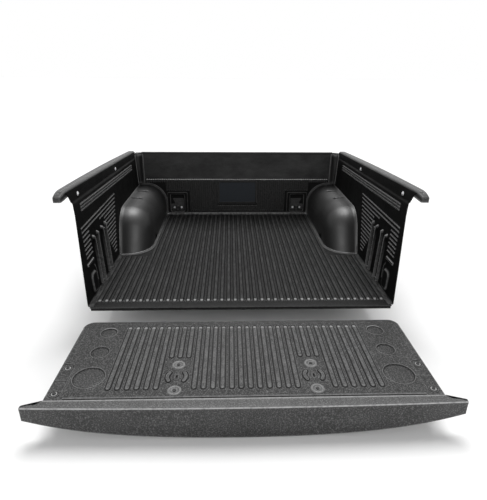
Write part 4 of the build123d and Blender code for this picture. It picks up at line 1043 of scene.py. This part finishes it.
CAP_TOP, LAP_Y, CAP_ROUND = cap_high[2], cap_high[1], 8
CAP_SINK = CAP_TOP - SHEET
CAP_END_X, CAP_LAP_X, BACK_EDGE = 819.5, 752, -640.5
plan_centre, plan_radius = circle_through((CAP_END_X, -650), (0, cap_low[1]), (-CAP_END_X, -650))
front_arc = [(x, plan_centre[1] - math.sqrt(plan_radius ** 2 - (x - plan_centre[0]) ** 2), 0)
             for x in spaced(CAP_END_X - 14, 14 - CAP_END_X, 103)]
cap_end = [(CAP_LAP_X, LAP_Y, 0), (770, -634, 10), (CAP_END_X - 1, -638, 2.5), (CAP_END_X - 1.5, -650.5, 3.5)]
cap_plan = around(cap_end + front_arc + mirror(cap_end))


def cap_bottom(x):
    """Lower edge of the cap's front face, deepest in the middle."""
    return cap_low[2] + 57.1 * (x * MM) ** 2 + 103.6 * (x * MM) ** 4


def cap_row(inset, z):
    """Row of points round the cap at one inset and height; its two ends stay on the lap line."""
    backs = cap_plan(-min(inset, 1.2))
    points = [(u, b[1] if b[1] > BACK_EDGE else v) for (u, v), b in zip(cap_plan(-inset), backs)]
    points[0], points[-1] = (CAP_LAP_X - inset, LAP_Y), (inset - CAP_LAP_X, LAP_Y)
    return [(u, v, z(u)) for u, v in points]


def level(value):
    """The same height at every place."""
    return lambda u: value


def down(t):
    """Height a part t of the way from the rounded edge to the lower edge."""
    return lambda u: (CAP_TOP - CAP_ROUND) * (1 - t) + cap_bottom(u) * t


cap_body = Body()
inner_top = cap_row(8.6, level(CAP_TOP))
lap_line = [(max(-747, min(747, u)), LAP_Y, CAP_TOP) for u, v, z in inner_top]
cap_rows = []
for t in (0, 0.25, 0.5, 0.75):
    cap_rows.append([tuple(np.array(a) * (1 - t) + np.array(b) * t) for a, b in zip(lap_line, inner_top)])
cap_rows.append(inner_top)
for a in spaced(0, QUARTER, 8)[1:]:
    cap_rows.append(cap_row(CAP_ROUND * (1 - sin(a)), level(CAP_TOP - CAP_ROUND * (1 - cos(a)))))
for t in (0.12, 0.24, 0.36, 0.48, 0.6, 0.72, 0.84, 0.94):
    cap_rows.append(cap_row(0.6 * sin(math.pi * t), down(t)))
for inset, t in ((0.2, 0.98), (1, 0.996), (2.2, 1), (3.4, 0.996), (4, 0.98), (4, 0.6), (4, 0.3), (4, 0)):
    cap_rows.append(cap_row(inset, down(t)))
cap_rows += [cap_row(5, level(CAP_SINK - 1)), cap_row(8.6, level(CAP_SINK))]
cap_rows.append([(u, v, CAP_SINK) for u, v, z in lap_line])
made = cap_body.grid(cap_rows)
cap_body.band(made[-1], made[0], closed=False)
cap_body.faces += [tuple(r[column] for r in made) for column in (0, -1)]
cap_body.make("tailgate_top_cap", "tailgate", "cap_plastic", cap_plastic, ["tailgate_cap"])


# ---- cup washers ----

CUP_PROFILE = ((3.6, 0.2), (26.6, 0), (27, 0.4), (26.5, 2), (25, 3.6), (23, 4.4), (20.6, 4.5), (18.6, 4.2),
               (17.4, 3.2), (15.4, 2.2), (13.6, 1.7), (12.4, 1.5), (8, 1.6), (3.9, 1.6), (3.6, 1.3))
CUP_SEAT = gate_high[2] - 4
cups = Body()
for x in (-CUP_X, CUP_X):
    for y in CUP_YS:
        rings = [cups.row([(u, v, CUP_SEAT + rise) for u, v in disc(x, y, radius, 56)(0)])
                 for radius, rise in CUP_PROFILE]
        for a, b in zip(rings, rings[1:] + rings[:1]):
            cups.band(a, b)
cups.make("tailgate_cups", "tailgate", "trim_plastic", cup_plastic, ["tailgate_cup_washers"])


# ---- corner pillars ----

CORNER_Y = 1499.4
PILLAR_ENDS = [(257, 0.3), (257.6, 0.6), (259.4, 0.82), (262.4, 0.93), (267, 1)]
PILLAR_TOPS = [(487.6, 1), (488.6, 0.8), (496, 0.78), (499, 0.72), (500, 0.6)]
FRONT_LIP = [(743.5, 1490.5), (740, 1493.4), (735.5, 1494.2), (731.5, 1495.4), (730, CORNER_Y)]


def pillar_section(z, scale):
    """Section of the right corner pillar: a bead between two lips, drawn towards the corner by scale."""
    wall = wall_x(z)
    points = [(wall - 0.4, 1442), (wall - 3.4, 1443.5), (wall - 4.8, 1447), (wall - 3.6, 1451.5),
              (wall - 4.6, 1457)]
    for k in range(12):
        angle = math.radians(252 - 58 * k / 11)
        points.append((772 + 26 * cos(angle), 1487 + 26 * sin(angle)))
    points += FRONT_LIP + [(wall - 0.4, CORNER_Y)]
    corner = np.array((wall - 0.4, CORNER_Y))
    return [(*(corner + (np.array(p) - corner) * scale), z) for p in points]


for side, name in SIDES:
    body = Body()
    rows = PILLAR_ENDS + [(z, 1) for z in spaced(285, 470, 8)] + PILLAR_TOPS
    body.tube([pillar_section(z, scale) for z, scale in rows])
    body.make(f"corner_bead_{name}", "bed", "trim_plastic", trim_plastic, [f"corner_pillar_{name}"], mirrored=side < 0)


# ---- materials of the CAD pieces that stay ----

KEPT = {
    "bulkhead_rail_cap": band_plastic, "rail_cap_tape": foam, "tailgate_cap_tape": foam,
    "side_panel_screws": zinc, "side_panel_washers": zinc, "side_panel_well_nuts": rubber,
    "tailgate_well_nuts": rubber, "tie_down_plate": plate_steel, "tie_down_bolts": zinc, "tie_down_ring": black_steel,
    "tailgate_center_screws": black_steel, "tailgate_edge_washers": washer_steel, "tailgate_edge_screws": black_steel,
}
for node_name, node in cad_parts.items():
    for start, material in KEPT.items():
        if node_name.startswith(start):
            for slot in node.material_slots:
                slot.material = material


# ---- floor, light and camera ----

GROUND_HALF, GROUND_GAP = 60, 0.004
EYE = (-0.0581, -1.8616, 1.0883)
YAW, PITCH, ROLL = 0.0331, 0.3970, 0.0085

ground_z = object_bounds()[0][2] - GROUND_GAP
corners = [(x * GROUND_HALF, y * GROUND_HALF, ground_z) for x, y in ((-1, -1), (1, -1), (1, 1), (-1, 1))]
mesh = bpy.data.meshes.new("studio floor")
mesh.from_pydata(corners, [], [(0, 1, 2, 3)])
ground = bpy.data.objects.new("studio_floor", mesh)
scene.collection.objects.link(ground)
paper = Nodes("studio paper")
paper.link(paper.ramp(paper.noise(1.5, 3), [(0.3, grey(0.86)), (0.7, grey(0.89))]), paper.shader.inputs["Base Color"])
paper.shader.inputs["Roughness"].default_value = 0.9
mesh.materials.append(paper.owner)

# White light that is strongest from low down, and weaker from behind the camera.
sky = Nodes("studio", world=True)
scene.world = sky.owner
sky.shader.inputs["Color"].default_value = (1, 1, 1, 1)
sky_axes = sky.axes()
glow = sky.span(sky_axes["Z"], 0.14, 0.4, 1, 0.42)
behind = sky.span(sky_axes["Y"], -0.6, 0.3, 0.4, 1)
sky.link(sky.maths("MULTIPLY", glow, behind), sky.shader.inputs["Strength"])


def soft_sun(name, source, strength, spread):
    """Broad soft light that shines from a direction."""
    data = bpy.data.lights.new(name, "SUN")
    data.energy = strength
    data.angle = math.radians(spread)
    lamp = bpy.data.objects.new(name, data)
    lamp.rotation_euler = Vector(source).to_track_quat("Z", "Y").to_euler()
    scene.collection.objects.link(lamp)


soft_sun("key", (0.04, 0.5, 1), 2.7, 36)
soft_sun("fill left", (-0.51, -0.67, 0.53), 0.65, 30)
soft_sun("fill right", (0.51, -0.67, 0.53), 0.65, 30)

forward = Vector((sin(YAW) * cos(PITCH), cos(YAW) * cos(PITCH), -sin(PITCH)))
right = Vector((cos(YAW), -sin(YAW), 0))
up = right.cross(forward)
right, up = right * cos(ROLL) + up * sin(ROLL), up * cos(ROLL) - right * sin(ROLL)
camera_data = bpy.data.cameras.new("camera")
camera_data.sensor_width = 36
camera_data.lens = 30.85
camera_data.sensor_fit = "AUTO"
camera_data.clip_end = 100
camera = bpy.data.objects.new("camera", camera_data)
camera.matrix_world = Matrix((*[(right[i], up[i], -forward[i], EYE[i]) for i in range(3)], (0, 0, 0, 1)))
scene.collection.objects.link(camera)
bpy.context.scene.camera = camera
scene.view_settings.view_transform = "Standard"
